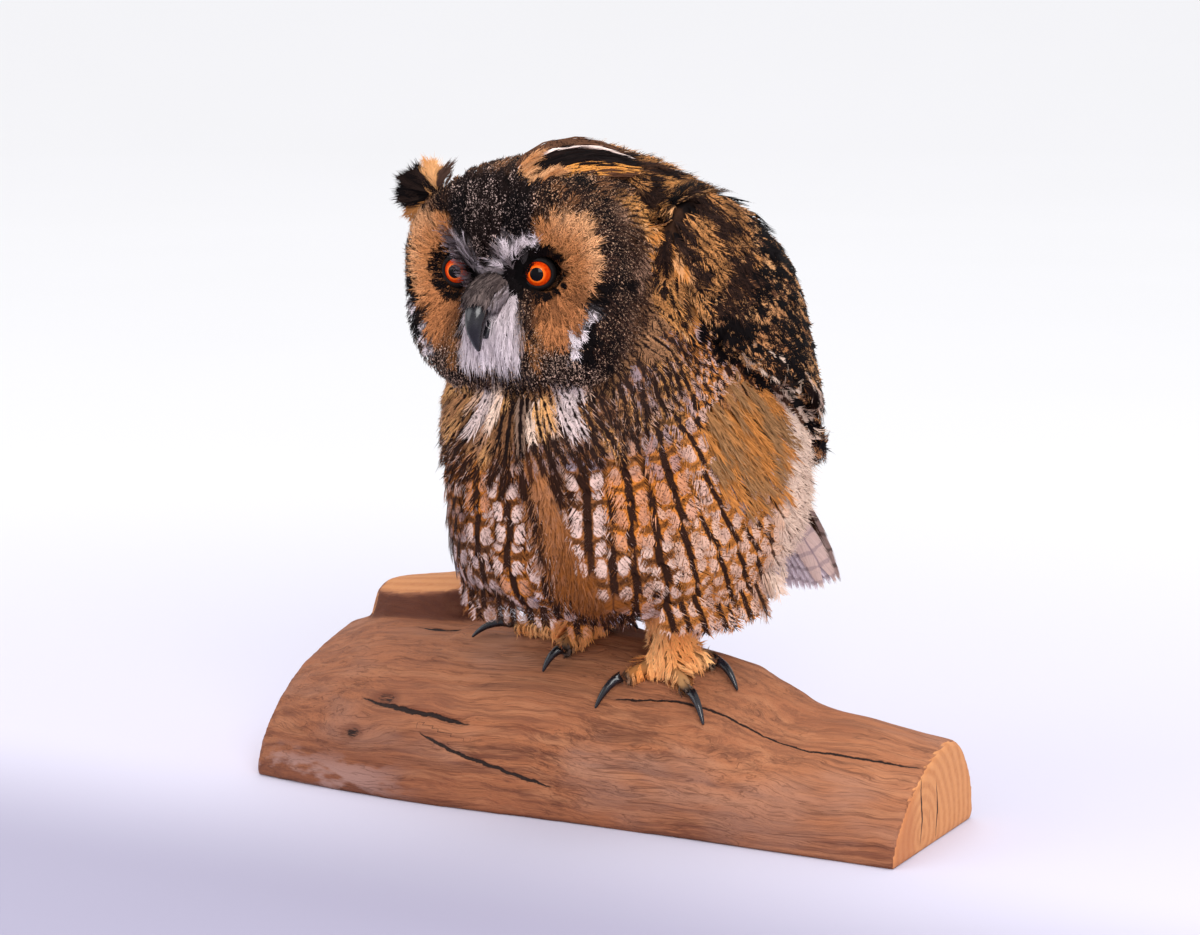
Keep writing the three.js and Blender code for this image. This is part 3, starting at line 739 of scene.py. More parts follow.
def head_plumage(p):
    """The face: tawny discs, white lores and brows, black patches, a peppered crown and rim."""
    h = owl_to_head(p)
    f, l, u = h.T
    side = np.abs(l)
    reach = disc_reach(h)
    face = on_face(h)
    ripple = noise(p, 5, 10) - 0.5
    rough = noise(p, 2.6, 23) - 0.5
    worn = plain(len(p), between((62, 40, 32), (32, 20, 18), clouds(p, 5, 11, 0.3, 0.6)))
    wear(worn, 1.0, mark=BLACK, spot=linear(186, 148, 122), streak=0.3, wobble=0.8, pepper=0.5,
         salt=0.3)
    # sides of the head behind the rim, soft and grey-brown, and the golden nape
    ruff = step(f, 20, 10) * step(u, 30, 20)
    cloud = noise(p, 8, 12)
    wear(worn, ruff, ground=between((56, 36, 29), (162, 122, 100), step(cloud, 0.3, 0.65)),
         mark=BLACK_BROWN, pepper=0.6, salt=0.2)
    wear(worn, ruff * step(u, -6, -22), ground=between((112, 76, 54), (60, 39, 30), cloud))
    long = noise(h * np.array([0.42, 1, 0.8]), 7.5, 24)
    nape = step(f, 14, 2) * step(u, 42, 34) * step(u, 2, 14)
    wear(worn, nape, ground=between((84, 54, 36), (212, 146, 82), step(long, 0.42, 0.52)),
         mark=BLACK_BROWN, streak=0.5, salt=0.1)
    wear(worn, nape * step(long, 0.42, 0.34), ground=BLACK_BROWN)
    # crown: black-brown, finely specked, with a few tan strokes
    crown = step(u, 24, 33) * step(f, -20, -5)
    clump = clouds(h, 4.2, 41, 0.46, 0.6)
    wear(worn, crown, ground=mixed(linear(46, 29, 23), BLACK, step(ripple, -0.1, 0.12)),
         pepper=0.5, salt=0.04 + 0.5 * clump, spot=linear(196, 150, 118))
    stroke = clouds(h * np.array([0.5, 1, 0.6]), 3.2, 42, 0.66, 0.74)
    wear(worn, crown * stroke, ground=linear(124, 82, 54))
    # discs, paler above and outside, deeper below the eye
    disc = step(reach + 0.1 * ripple + 0.06 * rough, 1.02, 0.95) * face
    shade = between((174, 112, 70), (196, 130, 80), step(u + 8 * ripple, -10, 12))
    outer = step(reach, 0.55, 0.95) * step(u, -20, 4) * step(side, 24, 34)
    shade = mixed(shade, linear(208, 152, 108), outer)
    shade = mixed(shade, linear(112, 70, 44), 0.7 * clouds(h, 6, 35, 0.5, 0.72) * step(u, 2, -8))
    wear(worn, disc, ground=shade, mark=BROWN, streak=0.0, wobble=0.1, pepper=0.25, salt=0.0)
    smudge = stripe(side, u, ((26, 4), (34, 8)), 3.4, 1.0) * clouds(h, 2.4, 25, 0.35, 0.6)
    wear(worn, 0.6 * smudge * face, ground=BROWN)
    dusk = step(side, 29, 21) * step(u, -10, -20) * disc
    wear(worn, 0.8 * dusk * clouds(h * np.array([1, 1.6, 0.5]), 4, 44, 0.4, 0.6), ground=BROWN)
    # black rim at the lower outer edge, with white flecks inside it
    rim = step(reach, 0.98, 1.04) * step(reach, 1.4, 1.28) * face
    wear(worn, rim * step(u, 4, -6) * step(side, 32, 38), ground=BLACK, pepper=0.1, salt=0.02)
    fleck = stripe(side + 5 * rough, u, ((45, -14), (35, -31)), 1.7, 2.0)
    # speckled band below the face
    band = step(u + 5 * ripple, -25, -31) * step(side, 13, 18) * step(reach, 0.86, 0.98) * face
    wear(worn, band * step(side, 46, 40), ground=linear(36, 23, 19), spot=linear(206, 170, 150),
         pepper=0.6, salt=0.75)
    hem = stripe(side + 6 * rough, u + 4 * ripple, ((48, -3), (41, -33)), 2.6, 2.8)
    wear(worn, hem * step(f, -2, 6) * clouds(p, 3, 46, 0.3, 0.42), ground=BLACK, pepper=0.0,
         salt=0.0)
    wear(worn, fleck * face * clouds(p, 3.4, 26, 0.2, 0.32), ground=WHITE, pepper=0.1, streak=0.0,
         salt=0.0)
    tan_low = stripe(side, u, ((18, -24), (22, -36)), 4.0, 2.0)
    wear(worn, tan_low * face, ground=mixed(linear(160, 106, 66), BLACK_BROWN, step(rough, 0, 0.2)),
         pepper=0.3, salt=0.3)
    # the wedge of the forehead
    wedge = step(u - 0.72 * side - 5 + 3 * ripple, -1, 2) * step(side, 23, 19) * face
    wear(worn, wedge, ground=linear(24, 15, 14), mark=BLACK, spot=linear(190, 164, 156), pepper=0.5,
         salt=0.03 + 0.4 * clump, streak=0.0)
    # grey between the eyes, white lores and chin, white brows
    half = 10.5 + 0.13 * np.clip(-u, 0, 45)
    lores = step(side + 4 * ripple, half + 1.5, half - 1.5) * face
    lores = lores * step(u, 8, 4) * step(u, -38, -32)
    grey = between((116, 100, 96), (52, 42, 40), clouds(p, 3, 17, 0.3, 0.7))
    white = mixed(WHITE, linear(176, 162, 166), noise(p, 4, 27))
    wear(worn, lores, ground=mixed(grey, white, step(u + 4 * ripple, -5, -11)), streak=0.0,
         pepper=0.1, mark=linear(70, 58, 56), salt=0.0)
    brow = np.maximum(stripe(side, u, ((5, 5), (18, 16.5)), 5.0, 3.4),
                      stripe(side, u, ((6.5, 6.5), (9, 15)), 4.0, 2.6)) * face
    specked = between((214, 200, 204), (96, 82, 82), 0.8 * clouds(p, 1.9, 43, 0.5, 0.66))
    wear(worn, brow, ground=specked, streak=0.0, pepper=0.2, salt=0.0)
    # black round the eyes, over them, and beside the wedge
    under = stripe(side, u, ((14.5, -8), (16, -17)), 4.5, 3.0) * step(rough, -0.25, 0.1)
    wear(worn, 0.85 * under * face, ground=linear(50, 32, 24), pepper=0.2)
    black = step(from_eye(h - np.array([0, 0, 0.8])) - 9.4, 1.0, -1.0)
    black = np.maximum(black, stripe(side, u, ((16, 1.5), (7.0, 0.4)), 6.5, 1.2))
    black = np.maximum(black, stripe(side, u, ((16, 6), (24, 12.5)), 5.0, 2.2))
    wear(worn, black * face, ground=BLACK, pepper=0.0, streak=0.0, salt=0.0)
    brow_black = stripe(side, u, ((13.5, 22), (14, 30)), 4.5, 4.5) * face
    wear(worn, brow_black, ground=BLACK, pepper=0.0, salt=0.05)
    return worn


def claw_root(node):
    """Where a claw leaves its toe: the end of its solid that is nearest the toes' skin."""
    verts = row_to_owl(node_mesh(node)[0] * MM)
    near = skin.nearest(verts)[0]
    return verts[np.argsort(np.linalg.norm(verts - near, axis=1))[:6]].mean(0)


CLAW_ROOTS = np.array([claw_root(n) for n in sorted(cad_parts) if n.startswith("claw")])


def foot_plumage(p, part):
    worn = plain(len(p), mixed(TOE_GOLD, linear(255, 200, 138), noise(p, 7, 19)))
    wear(worn, 1.0, mark=BROWN, streak=0.1, wobble=0.4, pepper=0.1)
    tips = step(np.linalg.norm(p[:, None] - CLAW_ROOTS[None], axis=2).min(1), 6.0, 2.5)
    wear(worn, tips, ground=linear(104, 88, 78), mark=BLACK_BROWN, pepper=0.4)
    high = step(p[:, 2], 96, 104) * (part == LEG)
    wear(worn, high, ground=mixed(TOE_GOLD, linear(206, 156, 120), clouds(p, 5, 28, 0.4, 0.6)))
    return worn


def plumage(p, part):
    """What the coat wears at points near the skin."""
    f, z = p[:, 0], p[:, 2]
    back = np.maximum(step(f, -30, -52) * step(z, 160, 190), step(z, 232, 242))
    made = breast_plumage(p)
    wear(made, back * (part == TRUNK), **mantle_plumage(p))
    wear(made, np.isin(part, (WING, PRIMARY)), **wing_plumage(p))
    wear(made, part == NECK, **neck_plumage(p))
    wear(made, part == HEADS, **head_plumage(p))
    wear(made, np.isin(part, (LEG, TOE)), **foot_plumage(p, part))
    return made


# ---------------------------------------------------------------- feathers

KNOTS = 6  # on each shaft
START_LIFT = 0.12  # how much of its lift over the skin a feather has at its root
PIECE_LIMIT = 190000  # triangles
TUFT_PATCH = 0.003
BARBS_PER_TUFT = 3


def barb_shape(rows, widths):
    """One barb: where its rows of vertices lie along it, their widths, and its triangles."""
    last = len(rows) - 2
    tris = []
    for a in range(0, 2 * last, 2):
        tris += [[a, a + 1, a + 3], [a, a + 3, a + 2]]
    tris.append([2 * last, 2 * last + 1, 2 * last + 2])
    return np.array(rows), np.array(widths), np.array(tris)


VANE = barb_shape((0.0, 0.38, 0.78, 1.0), (0.7, 1.0, 0.72, 0.0))
HAIR = barb_shape((0.0, 0.5, 1.0), (0.9, 0.8, 0.0))


class Shafts:
    """Feather shafts: each one's knots in space, and the vane's normal there."""

    def __init__(self, points, normals):
        self.length = np.linalg.norm(np.diff(points, axis=1), axis=2).sum(1)
        self.points = points
        self.along = unit(np.gradient(points, axis=1))
        self.normals = onto_plane(normals, self.along)
        self.sides = np.cross(self.along, self.normals)

    def sample(self, values, share):
        """values at the knots, read at share along each feather. share is (feather, ...)."""
        x = np.clip(share, 0, 1) * (KNOTS - 1)
        low = np.minimum(x.astype(int), KNOTS - 2)
        t = (x - low)[..., None]
        index = np.arange(len(values)).reshape((-1,) + (1,) * (share.ndim - 1))
        return values[index, low] * (1 - t) + values[index, low + 1] * t

    def place(self, local):
        """Points from the feather's own coordinates: across, along and above, in millimetres."""
        length = self.length.reshape((-1,) + (1,) * (local.ndim - 2))
        share = local[..., 1] / length
        beyond = np.maximum(share - 1, 0) * length
        kinds = (self.sides, self.normals, self.along)
        side, out, way = (unit(self.sample(kind, share)) for kind in kinds)
        return (self.sample(self.points, share) + side * local[..., :1] + out * local[..., 2:]
                + way * beyond[..., None])


def head_shafts(points, facing):
    """Shafts from points in the head's frame, whose vanes face the way facing says there."""
    return Shafts(head_to_owl(points), np.broadcast_to(facing, points.shape) @ HEAD.T)


def laid_on_skin(roots, length, lift, stiff, flow):
    """Shafts that leave the skin and lie along it. A stiff one keeps its way past an edge."""
    count = len(roots)
    stride = (length / (KNOTS - 1))[:, None]
    stiff = np.broadcast_to(stiff, count)[:, None]
    points, normals = np.empty((2, count, KNOTS, 3))
    at, way, free = roots, None, None
    for k in range(KNOTS):
        near, out, part = skin.nearest(at)
        flowing = flow(near, out, part)
        way = flowing if way is None else unit(flowing * (1 - stiff) + way * stiff)
        resting = near + out * ((START_LIFT + (1 - START_LIFT) * k / (KNOTS - 1)) * lift)
        free = resting if free is None else resting * (1 - stiff) + (free + way * stride) * stiff
        points[:, k], normals[:, k] = free, out
        at = free + way * stride
    return Shafts(points, normals)


def resampled(path, count=KNOTS):
    """Points evenly spaced along a smooth curve through path, which has any leading axes."""
    path = np.asarray(path, float)
    knots = path.shape[-2]
    t = np.linspace(0, knots - 1, count)
    low = np.minimum(t.astype(int), knots - 2)
    f = (t - low)[:, None]
    before, after = np.maximum(low - 1, 0), np.minimum(low + 2, knots - 1)
    p0, p1, p2, p3 = (path[..., i, :] for i in (before, low, low + 1, after))
    return 0.5 * (2 * p1 + (p2 - p0) * f + (2 * p0 - 5 * p1 + 4 * p2 - p3) * f**2
                  + (3 * p1 - p0 - 3 * p2 + p3) * f**3)


def guide(path, count, *widths):
    """A curve through path, its way at each point, and each list of widths read along it."""
    curve = resampled(path, count)
    at = np.linspace(0, len(path) - 1, count)
    read = [np.interp(at, range(len(path)), w) for w in widths]
    return curve, unit(np.gradient(curve, axis=0)), *read


def trunk_place(p):
    """The skin's unwrap round the body: turn about the upright axis and height."""
    turn = np.arctan2(p[..., 1] - LEAN, p[..., 0] + 5) / (2 * math.pi) + 0.5
    return np.stack([turn, (p[..., 2] - 60) / 240], -1)


def head_place(p):
    """The head's unwrap as a disc round the face's forward axis, equal in area."""
    out = unit(owl_to_head(p))
    reach = np.sqrt(np.clip((1 - out[..., 0]) / 2, 0, 1)) * 0.5
    spin = np.arctan2(out[..., 2], out[..., 1])
    return np.stack([0.5 + reach * np.cos(spin), 0.5 + reach * np.sin(spin)], -1)


def wing_place(p):
    """The wing's unwrap on its own flat side, the left wing beside the right one."""
    u = (p[..., 0] + 130) / 340 + np.where(p[..., 1] > LEAN, 0.5, 0.0)
    return np.stack([u, (p[..., 2] - 130) / 160], -1)


class Look(NamedTuple):
    """How one coat's feathers are made. Lengths are in millimetres."""

    slot: str
    unwrap: object
    barb: tuple
    barbs: int  # on each side of the shaft
    width: float
    length: float = 0.0
    lift: float = 0.0  # how far the tip stands over the skin
    fray: float = 0.1  # how unevenly the barbs end
    fluff: float = 0.5  # how far the barbs' ends rise out of the vane
    start: float = 0.34  # the share of the shaft that is bare
    blade: float = 1.5  # a barb's breadth, for its place in the row
    splay: float = 1.0  # the vane's width, as a share of width
    jitter: float = 0.06  # how much the barbs' tone strays
    camber: float = 0.014
    point: float = 0.5
    shade_at: float = 0.72  # how far along the shaft the plumage is read
    stiff: float = 0.0
    vary: float = 0.0  # how much the lengths stray
    vary_width: float = 0.0
    spacing: float = 0.0  # between scattered roots


BREAST, MANTLE, FACE, TUFT, TAIL, LEGS = (
    part + "_feathers" for part in ("breast", "mantle", "face", "tuft", "tail", "leg"))
COATS = {
    "breast": Look(BREAST, trunk_place, VANE, 54, 17.0, 27, 4.8, 0.14, 0.25, 0.2, camber=0.016,
                   vary=1.4, vary_width=1.2),
    "under": Look(BREAST, trunk_place, HAIR, 22, 11, 20, 2.6, 0.2, 0.8, 0.08, spacing=7.0),
    "fluff": Look(BREAST, trunk_place, HAIR, 18, 8, 24, 5.0, 0.4, 2.0, 0.1, 0.9, 0.7, stiff=0.4,
                  vary=2, spacing=5.0),
    "band": Look(BREAST, trunk_place, HAIR, 18, 6, 20, 5.6, 0.6, 0.8, 0.04, 0.9, 0.6, 0.12,
                 vary=2.5, spacing=2.6),
    "silk": Look(BREAST, trunk_place, HAIR, 18, 7, 24, 6.2, 0.5, 0.6, 0.04, 0.8, 0.5, 0.22,
                 stiff=0.2, vary=3, spacing=3.8),
    "fringe": Look(BREAST, trunk_place, VANE, 40, 12, 21, 3.6, 0.24, 0.6, 0.1, splay=0.85,
                   stiff=0.9, vary=2.5),
    "back": Look(MANTLE, trunk_place, VANE, 44, 15, 27, 4.4, spacing=8.4),
    "wings": Look(MANTLE, wing_place, HAIR, 22, 11, 20, 2.2, start=0.08, spacing=7.0),
    "coverts": Look(MANTLE, wing_place, VANE, 46, 13, 25, 4.0, camber=0.018, stiff=0.25, vary=1.5,
                    vary_width=1),
    "flight": Look(MANTLE, wing_place, VANE, 90, 11, 52, 2.6, 0.04, 0.15, 0.05, point=0.9,
                   stiff=0.75),
    "bend": Look(MANTLE, trunk_place, HAIR, 22, 8, 15, 4.4, 0.35, 0.6, 0.05, 1.4, jitter=0.14,
                 vary=2, spacing=3.2),
    "shoulders": Look(MANTLE, trunk_place, HAIR, 24, 10, 17, 3.4, 0.2, 0.3, 0.05, 1.9, jitter=0.1,
                      vary=2, spacing=3.8),
    "collar": Look(BREAST, trunk_place, HAIR, 18, 6.5, 15, 2.4, 0.4, 0.6, 0.05, 1.4, 0.7, 0.14,
                   vary=2, spacing=3.0),
    "neck": Look(BREAST, trunk_place, HAIR, 24, 7.5, 22, 5.0, 0.3, 0.9, 0.06, 1.25, 0.6, 0.12,
                 vary=2.5, vary_width=0.8, spacing=3.5),
    "head": Look(FACE, head_place, HAIR, 12, 3.8, 8.5, 2.4, 0.45, 0.35, 0.06, 0.95, 0.85, 0.12,
                 spacing=2.5),
    "face": Look(FACE, head_place, HAIR, 11, 3.0, 8.5, 1.7, 0.85, 0.3, 0.04, 0.8, 0.8, 0.24,
                 shade_at=0.75, vary=1.2, spacing=1.75),
    "lores": Look(FACE, head_place, HAIR, 12, 2.6, 9.5, 3.6, 0.7, 0.6, 0.03, 0.7, 0.6, 0.14,
                  shade_at=0.6, vary=1.2, spacing=2.0),
    "eye_rings": Look(FACE, head_place, HAIR, 7, 2.0, 4.4, 1.5, 0.6, 0.3, 0.04, 0.9, 0.7, vary=0.8),
    "bristles": Look(FACE, head_place, HAIR, 6, 1.5, fray=0.5, start=0.02, blade=0.6, splay=0.6),
    "legs": Look(LEGS, trunk_place, HAIR, 12, 3.2, 11, 3.6, 0.5, 0.8, 0.06, splay=0.6, vary=1.5,
                 spacing=2.3),
    "toes": Look(LEGS, trunk_place, HAIR, 9, 1.7, 6.5, 2.6, 0.5, 0.7, 0.06, 1.0, 0.6, vary=0.9,
                 spacing=1.5),
    "tuft_left": Look(TUFT, head_place, VANE, 40, 4.6, fray=0.3, start=0.04, blade=1.3, splay=0.8,
                      jitter=0.14, camber=0.02),
    "tuft_root": Look(TUFT, head_place, HAIR, 30, 3.4, fray=0.5, fluff=0.8, start=0.04, blade=0.9,
                      splay=0.7, jitter=0.14),
    "tuft_right": Look(TUFT, head_place, HAIR, 28, 4.2, fray=0.45, fluff=0.9, start=0.04, blade=1.0,
                       splay=0.75, jitter=0.14, camber=0.02),
    "tail_upper": Look(TAIL, trunk_place, VANE, 120, 12.5, fray=0.05, fluff=0.1, start=0.03,
                       blade=1.7, camber=0.006, point=0.9),
}
COATS["tail_under"] = COATS["tail_upper"]


def soften(mesh, shafts, local, camber, wild):
    """Shades the barbs as one soft cambered vane, each turned only a little on its own."""
    share = local[..., 1] / shafts.length[:, None, None, None]
    out = unit(shafts.sample(shafts.normals, share))
    side = unit(shafts.sample(shafts.sides, share))
    tilt = 2 * camber * local[..., 0] + 0.07 * wild[..., None]
    facing = unit(out + side * tilt[..., None]) @ OWL.T
    mesh.normals_split_custom_set_from_vertices(facing.reshape(-1, 3))


def feather_mesh(name, shafts, width, look, worn):
    """Joined feathers: each is two rows of tapered barbs that sweep from its shaft to its tip."""
    count, barbs = len(shafts.length), look.barbs
    shape = (count, 2, barbs)
    length, wide = shafts.length[:, None, None], width[:, None, None]
    q = np.broadcast_to((np.arange(barbs) + 0.5) / barbs, shape)
    side = np.broadcast_to(np.array([-1.0, 1.0])[None, :, None], shape)
    zero = np.zeros(shape)
    wild = rng.normal(size=(4,) + shape)
    root_y = length * (look.start + (0.86 - look.start) * q)
    end_y = root_y + (length - root_y) * (0.42 + 0.58 * q) + wild[0] * look.fray * 0.16 * length
    outline = np.sqrt(np.clip(1 - q**2.4 * (1 - look.point * 0.3), 0, 1)) * np.minimum(1, 0.72 + q)
    end_x = side * (wide / 2 * outline * look.splay * (1 + look.fray * wild[1])
                    + 0.25 * look.fray * wide * wild[2])
    t, barb_widths, barb_tris = look.barb

    def bezier(a, b, c):
        """A barb's curve at its rows, and its slope there."""
        a, b, c = a[..., None], b[..., None], c[..., None]
        curve = a * (1 - t) ** 2 + 2 * b * t * (1 - t) + c * t**2
        return curve, 2 * ((b - a) * (1 - t) + (c - b) * t)

    x, dx = bezier(zero, end_x * 0.58, end_x)
    y, dy = bezier(root_y, root_y + (end_y - root_y) * 0.36, end_y)
    size = np.maximum(np.hypot(dx, dy), 1e-6)
    reach = np.hypot(width, shafts.length)[:, None, None, None]
    half = 0.5 * look.blade * (0.72 * reach / barbs / 1.5) * barb_widths
    rise = -look.camber * x**2 + look.fluff * np.abs(wild[0][..., None]) * t**2
    # each vertex's row along its barb and the edge it is on: a pair in each row, then the tip
    last = len(t) - 1
    row = np.append(np.repeat(np.arange(last), 2), last)
    edge = np.append(np.tile((-1, 1), last), 0)
    across = edge * half[..., row]
    local = np.stack([x[..., row] + across * dy[..., row] / size[..., row],
                      y[..., row] - across * dx[..., row] / size[..., row],
                      rise[..., row] + across * (0.1 * wild[3][..., None])], -1)
    placed = shafts.place(local).reshape(-1, 3)
    tris = (barb_tris[None] + len(row) * np.arange(count * 2 * barbs)[:, None, None]).reshape(-1, 3)
    mesh = fast_mesh(name, owl_to_row(placed), tris)
    # what the material reads
    seed = np.broadcast_to(rng.random(count)[:, None, None, None], local.shape[:-1])
    from_tip = length[..., None] - local[..., 1]
    set_numbers(mesh, "vane", np.stack([local[..., 0], from_tip, seed], -1).reshape(-1, 3))
    tone = 1 + look.jitter * np.clip(rng.normal(size=shape), -2, 2)
    numbers = {shade: worn[shade][:, None, None, None] * tone[..., None, None] for shade in SHADES}
    for group, rules in GROUPS.items():
        filler = [0] * (3 - len(rules))
        numbers[group] = columns(*(worn[rule] for rule in rules), *filler)[:, None, None, None]
    for key, value in numbers.items():
        set_numbers(mesh, key, np.broadcast_to(value, local.shape).reshape(-1, 3))
    # each tuft of barbs is a small patch at its root's place on the skin's unwrap
    tuft = (np.arange(barbs) // BARBS_PER_TUFT) * BARBS_PER_TUFT + BARBS_PER_TUFT // 2
    roots = shafts.place(np.stack([side * 0.8, root_y[..., np.minimum(tuft, barbs - 1)], zero], -1))
    home = np.clip(look.unwrap(roots), 0.004, 0.996)[..., None, :]
    within = (np.arange(barbs) % BARBS_PER_TUFT)[:, None] + np.array([0.1, 0.5, 0.9])[edge + 1]
    within = within / BARBS_PER_TUFT - 0.5
    patch = np.stack([np.broadcast_to(t[row] - 0.5, within.shape), within], -1) * TUFT_PATCH
    places = (home + patch * side[..., None, None]).reshape(-1, 2)
    soften(mesh, shafts, local, look.camber, wild[3])
    layer = mesh.uv_layers.new(name="OFBake")
    layer.uv.foreach_set("vector", np.ascontiguousarray(places[tris.ravel()], np.float32).ravel())
    mesh.materials.append(coat_material)
    return mesh


def feather_material():
    """A feather from its markings: shaft streak, cross bars, pale spots, blotches and flecks."""
    g = Graph("owl_feather")
    across, tip, seed = g.split(g.attribute("vane", "Vector"))
    streak, wobble, pepper = g.split(g.attribute("lines", "Vector"))
    bar, period, spotty = g.split(g.attribute("crosses", "Vector"))
    salt, blotch, _ = g.split(g.attribute("grit", "Vector"))
    ground, mark, spot = (g.attribute(shade, "Color") for shade in SHADES)
    place = g.node("CombineXYZ", 0, {"X": across, "Y": tip, "Z": seed * 97.0})
    out = abs(across)
    uneven = g.noise(place, 0.35, 3.0, 0.6) - 0.5
    fine = g.noise(place, 1.1, 2.0, 0.6)
    grit = g.noise(place, 1.15, 1.0, 0.6)
    # cross bars, bent towards the tip away from the shaft
    bent = tip + out * -0.22 + uneven * 3.6 + seed * 7.0
    phase = g.maths("FRACT", bent / period) - 0.5
    thin = period * 0.5 - abs(phase) * period
    bars = g.ramp(thin, 1.5, 0.7) * bar * g.ramp(out, 9.0, 6.5)
    # pale rounded spots between the bars, on both sides of the streak
    sx = (out - (streak + 3.3)) / 2.9
    sy = phase * period / 3.9
    oval = abs(sx) ** 2.6 + abs(sy) ** 2.6 + uneven * 1.9
    # ragged pale blotches on dark feathers, dark flecks, and specks of the spots' own shade
    patch = g.noise(g.stretched(place, (0.34, 0.15, 1.0)), 1.0, 3.0, 0.6)
    ragged = g.ramp(patch + blotch * 0.2, 0.6, 0.66) * g.ramp(blotch, 0.0, 0.1)
    fleck = g.ramp(fine + pepper * 0.14, 0.6, 0.68) * g.ramp(pepper, 0.0, 0.3)
    specks = g.ramp(grit + salt * 0.12, 0.62, 0.7) * g.ramp(salt, 0.0, 0.1)
    # the streak along the shaft, and fine hairs over all
    band = streak - (out + uneven * (wobble * 2.0))
    line = g.ramp(band, -0.45, 0.35) * g.ramp(streak, 0.0, 0.25)
    hair = g.noise(g.stretched(place, (3.0, 0.4, 1.0)), 2.2, 2.0)
    colour = g.layered(
        ground, (g.ramp(oval, 1.2, 0.7) * spotty, spot), (ragged, spot), (fleck * 0.8, mark),
        (specks, spot), (bars * 0.8, mark), (line, mark), (g.ramp(hair, 0.5, 0.8) * 0.15, mark))
    return g.surface(colour, g.ramp(hair, 0.2, 0.8, 0.6, 0.85), (hair, 0.1, 0.0004),
                     Specular_IOR_Level=0.04)


coat_material = feather_material()


def dress(name, shafts, worn, width, *replaced):
    """Named coat pieces from shafts, as few as keep each under the limit."""
    look = COATS[name]
    count = len(shafts.length)
    width = np.broadcast_to(width, count).astype(float)
    pieces = math.ceil(count * 2 * look.barbs * len(look.barb[2]) / PIECE_LIMIT)
    for i, chosen in enumerate(np.array_split(np.arange(count), pieces)):
        label = f"coat_{name}_{i + 1}" if pieces > 1 else "coat_" + name
        part = Shafts(shafts.points[chosen], shafts.normals[chosen])
        part_worn = {key: value[chosen] for key, value in worn.items()}
        mesh = feather_mesh(label, part, width[chosen], look, part_worn)
        piece(label, mesh, look.slot, *replaced)


def varied(value, spread, count):
    value = np.broadcast_to(value, count).astype(float)
    return rng.normal(value, spread) if spread else value


def coat(name, roots, *, length=None, width=None, stiff=None, worn=None, flow=coat_flow):
    """Coat pieces from feathers that grow at roots and wear what the skin there does."""
    look = COATS[name]
    length = varied(look.length if length is None else length, look.vary, len(roots))
    width = varied(look.width if width is None else width, look.vary_width, len(roots))
    shafts = laid_on_skin(roots, length, look.lift, look.stiff if stiff is None else stiff, flow)
    at = shafts.sample(shafts.points, np.full(len(roots), look.shade_at))
    near, _, part = skin.nearest(at)
    made = plumage(near, part)
    if worn is not None:
        worn(made, near)
    dress(name, shafts, made, width)


def grow(name, allowed, **more):
    """A coat from roots scattered where allowed says."""
    coat(name, skin.scatter(allowed, COATS[name].spacing), **more)


def parts_mask(*wanted):
    return lambda p, part: np.isin(part, wanted)


# ---------------------------------------------------------------- rows down the breast

COLUMN_GAP, ROW_GAP = 11.6, 10.5
COLUMNS, COLUMN_ROWS = 34, 11
COLUMN_TOP, BELLY = 178.0, 93.0
MIDDLE = Vector((-8, LEAN, 0))  # the axis that the columns and the fringe stand round


def around(turn, height):
    """Where a level line towards the body's axis meets the skin, and on which part."""
    way = Vector((math.cos(turn), math.sin(turn), 0))
    return skin.towards(MIDDLE + Vector((0, 0, height)), way)


def evenly_parted(line):
    """A closed line of points, one added in each wide gap and one dropped from each tight one."""
    kept = []
    for here, after in zip(line, np.roll(line, -1, axis=0)):
        gap = np.linalg.norm(after - here)
        if gap > 0.55 * COLUMN_GAP:
            kept.append(here)
        if gap > 1.5 * COLUMN_GAP:
            kept.append((here + after) / 2)
    return np.array(kept)


def breast_roots():
    """Roots in lines that follow the lie of the coat, from under the collar to the belly."""
    turns = [2 * math.pi * (column + 0.5) / COLUMNS for column in range(COLUMNS)]
    line = np.array([around(turn, COLUMN_TOP + 6 * math.cos(turn))[0] for turn in turns])
    roots = []
    for _ in range(COLUMN_ROWS):
        near, out, part = skin.nearest(line)
        f, l, z = near.T
        low = z < BELLY + 9 * step(l, 38, 26) * step(f, 20, 40)
        banded = (band_gap(near) < 0) & (f > 30) & (z < 130)
        kept = ~low & ~banded & ~np.isin(part, (WING, PRIMARY, HEADS, LEG, TOE))
        roots.append(near[kept] + rng.normal(size=(kept.sum(), 3)) * 0.9)
        line = evenly_parted(near + coat_flow(near, out, part) * ROW_GAP * ~low[:, None])
    return np.concatenate(roots)


# ---------------------------------------------------------------- ears, tail and wings

EAR_PATH = [(29, 9, 39.5), (16, 18, 44.5), (-5, 26, 44), (-30, 31, 37.5)]
EAR_SPREAD = (0.0, 0.66, -0.75)
EAR_HALF_WIDTHS = (5.6, 8.4, 8.2, 4.4)
EAR_ROOTS = [(31.5, 11, 33.5), (30.5, 13, 34.5), (29, 16, 36), (27, 19, 37), (30, 9, 37),
             (29, 8, 41.0), (27, 10, 43.5)]
ROOT_WAY = np.array([-9.5, 4.8, 5.0])
CAP_ROOT = (24.0, -35.0, 32.5)
CAP_TIPS = [  # the right tuft's fan of (left, up) tips: low fringe, cap, bright tips, wisp
    (-48, 22), (-51, 24.5), (-50.5, 28), (-51, 30.5), (-51.5, 33.5), (-51, 37), (-49.5, 40),
    (-46.5, 42), (-43.5, 43), (-40, 44.5), (-37.5, 44.5), (-35, 43.5), (-32, 42.5), (-29.5, 43.5),
]
FRINGE_TIPS, CAP_END, BRIGHT_END = 3, 9, 12  # where the fan's fringe, cap and bright tips end


def cut(points, share):
    """Each path's knots again over its first share only. points is (path, knot, 3)."""
    return np.array([read_at(path, np.linspace(0, part, KNOTS) * (len(path) - 1))
                     for path, part in zip(points, share)])


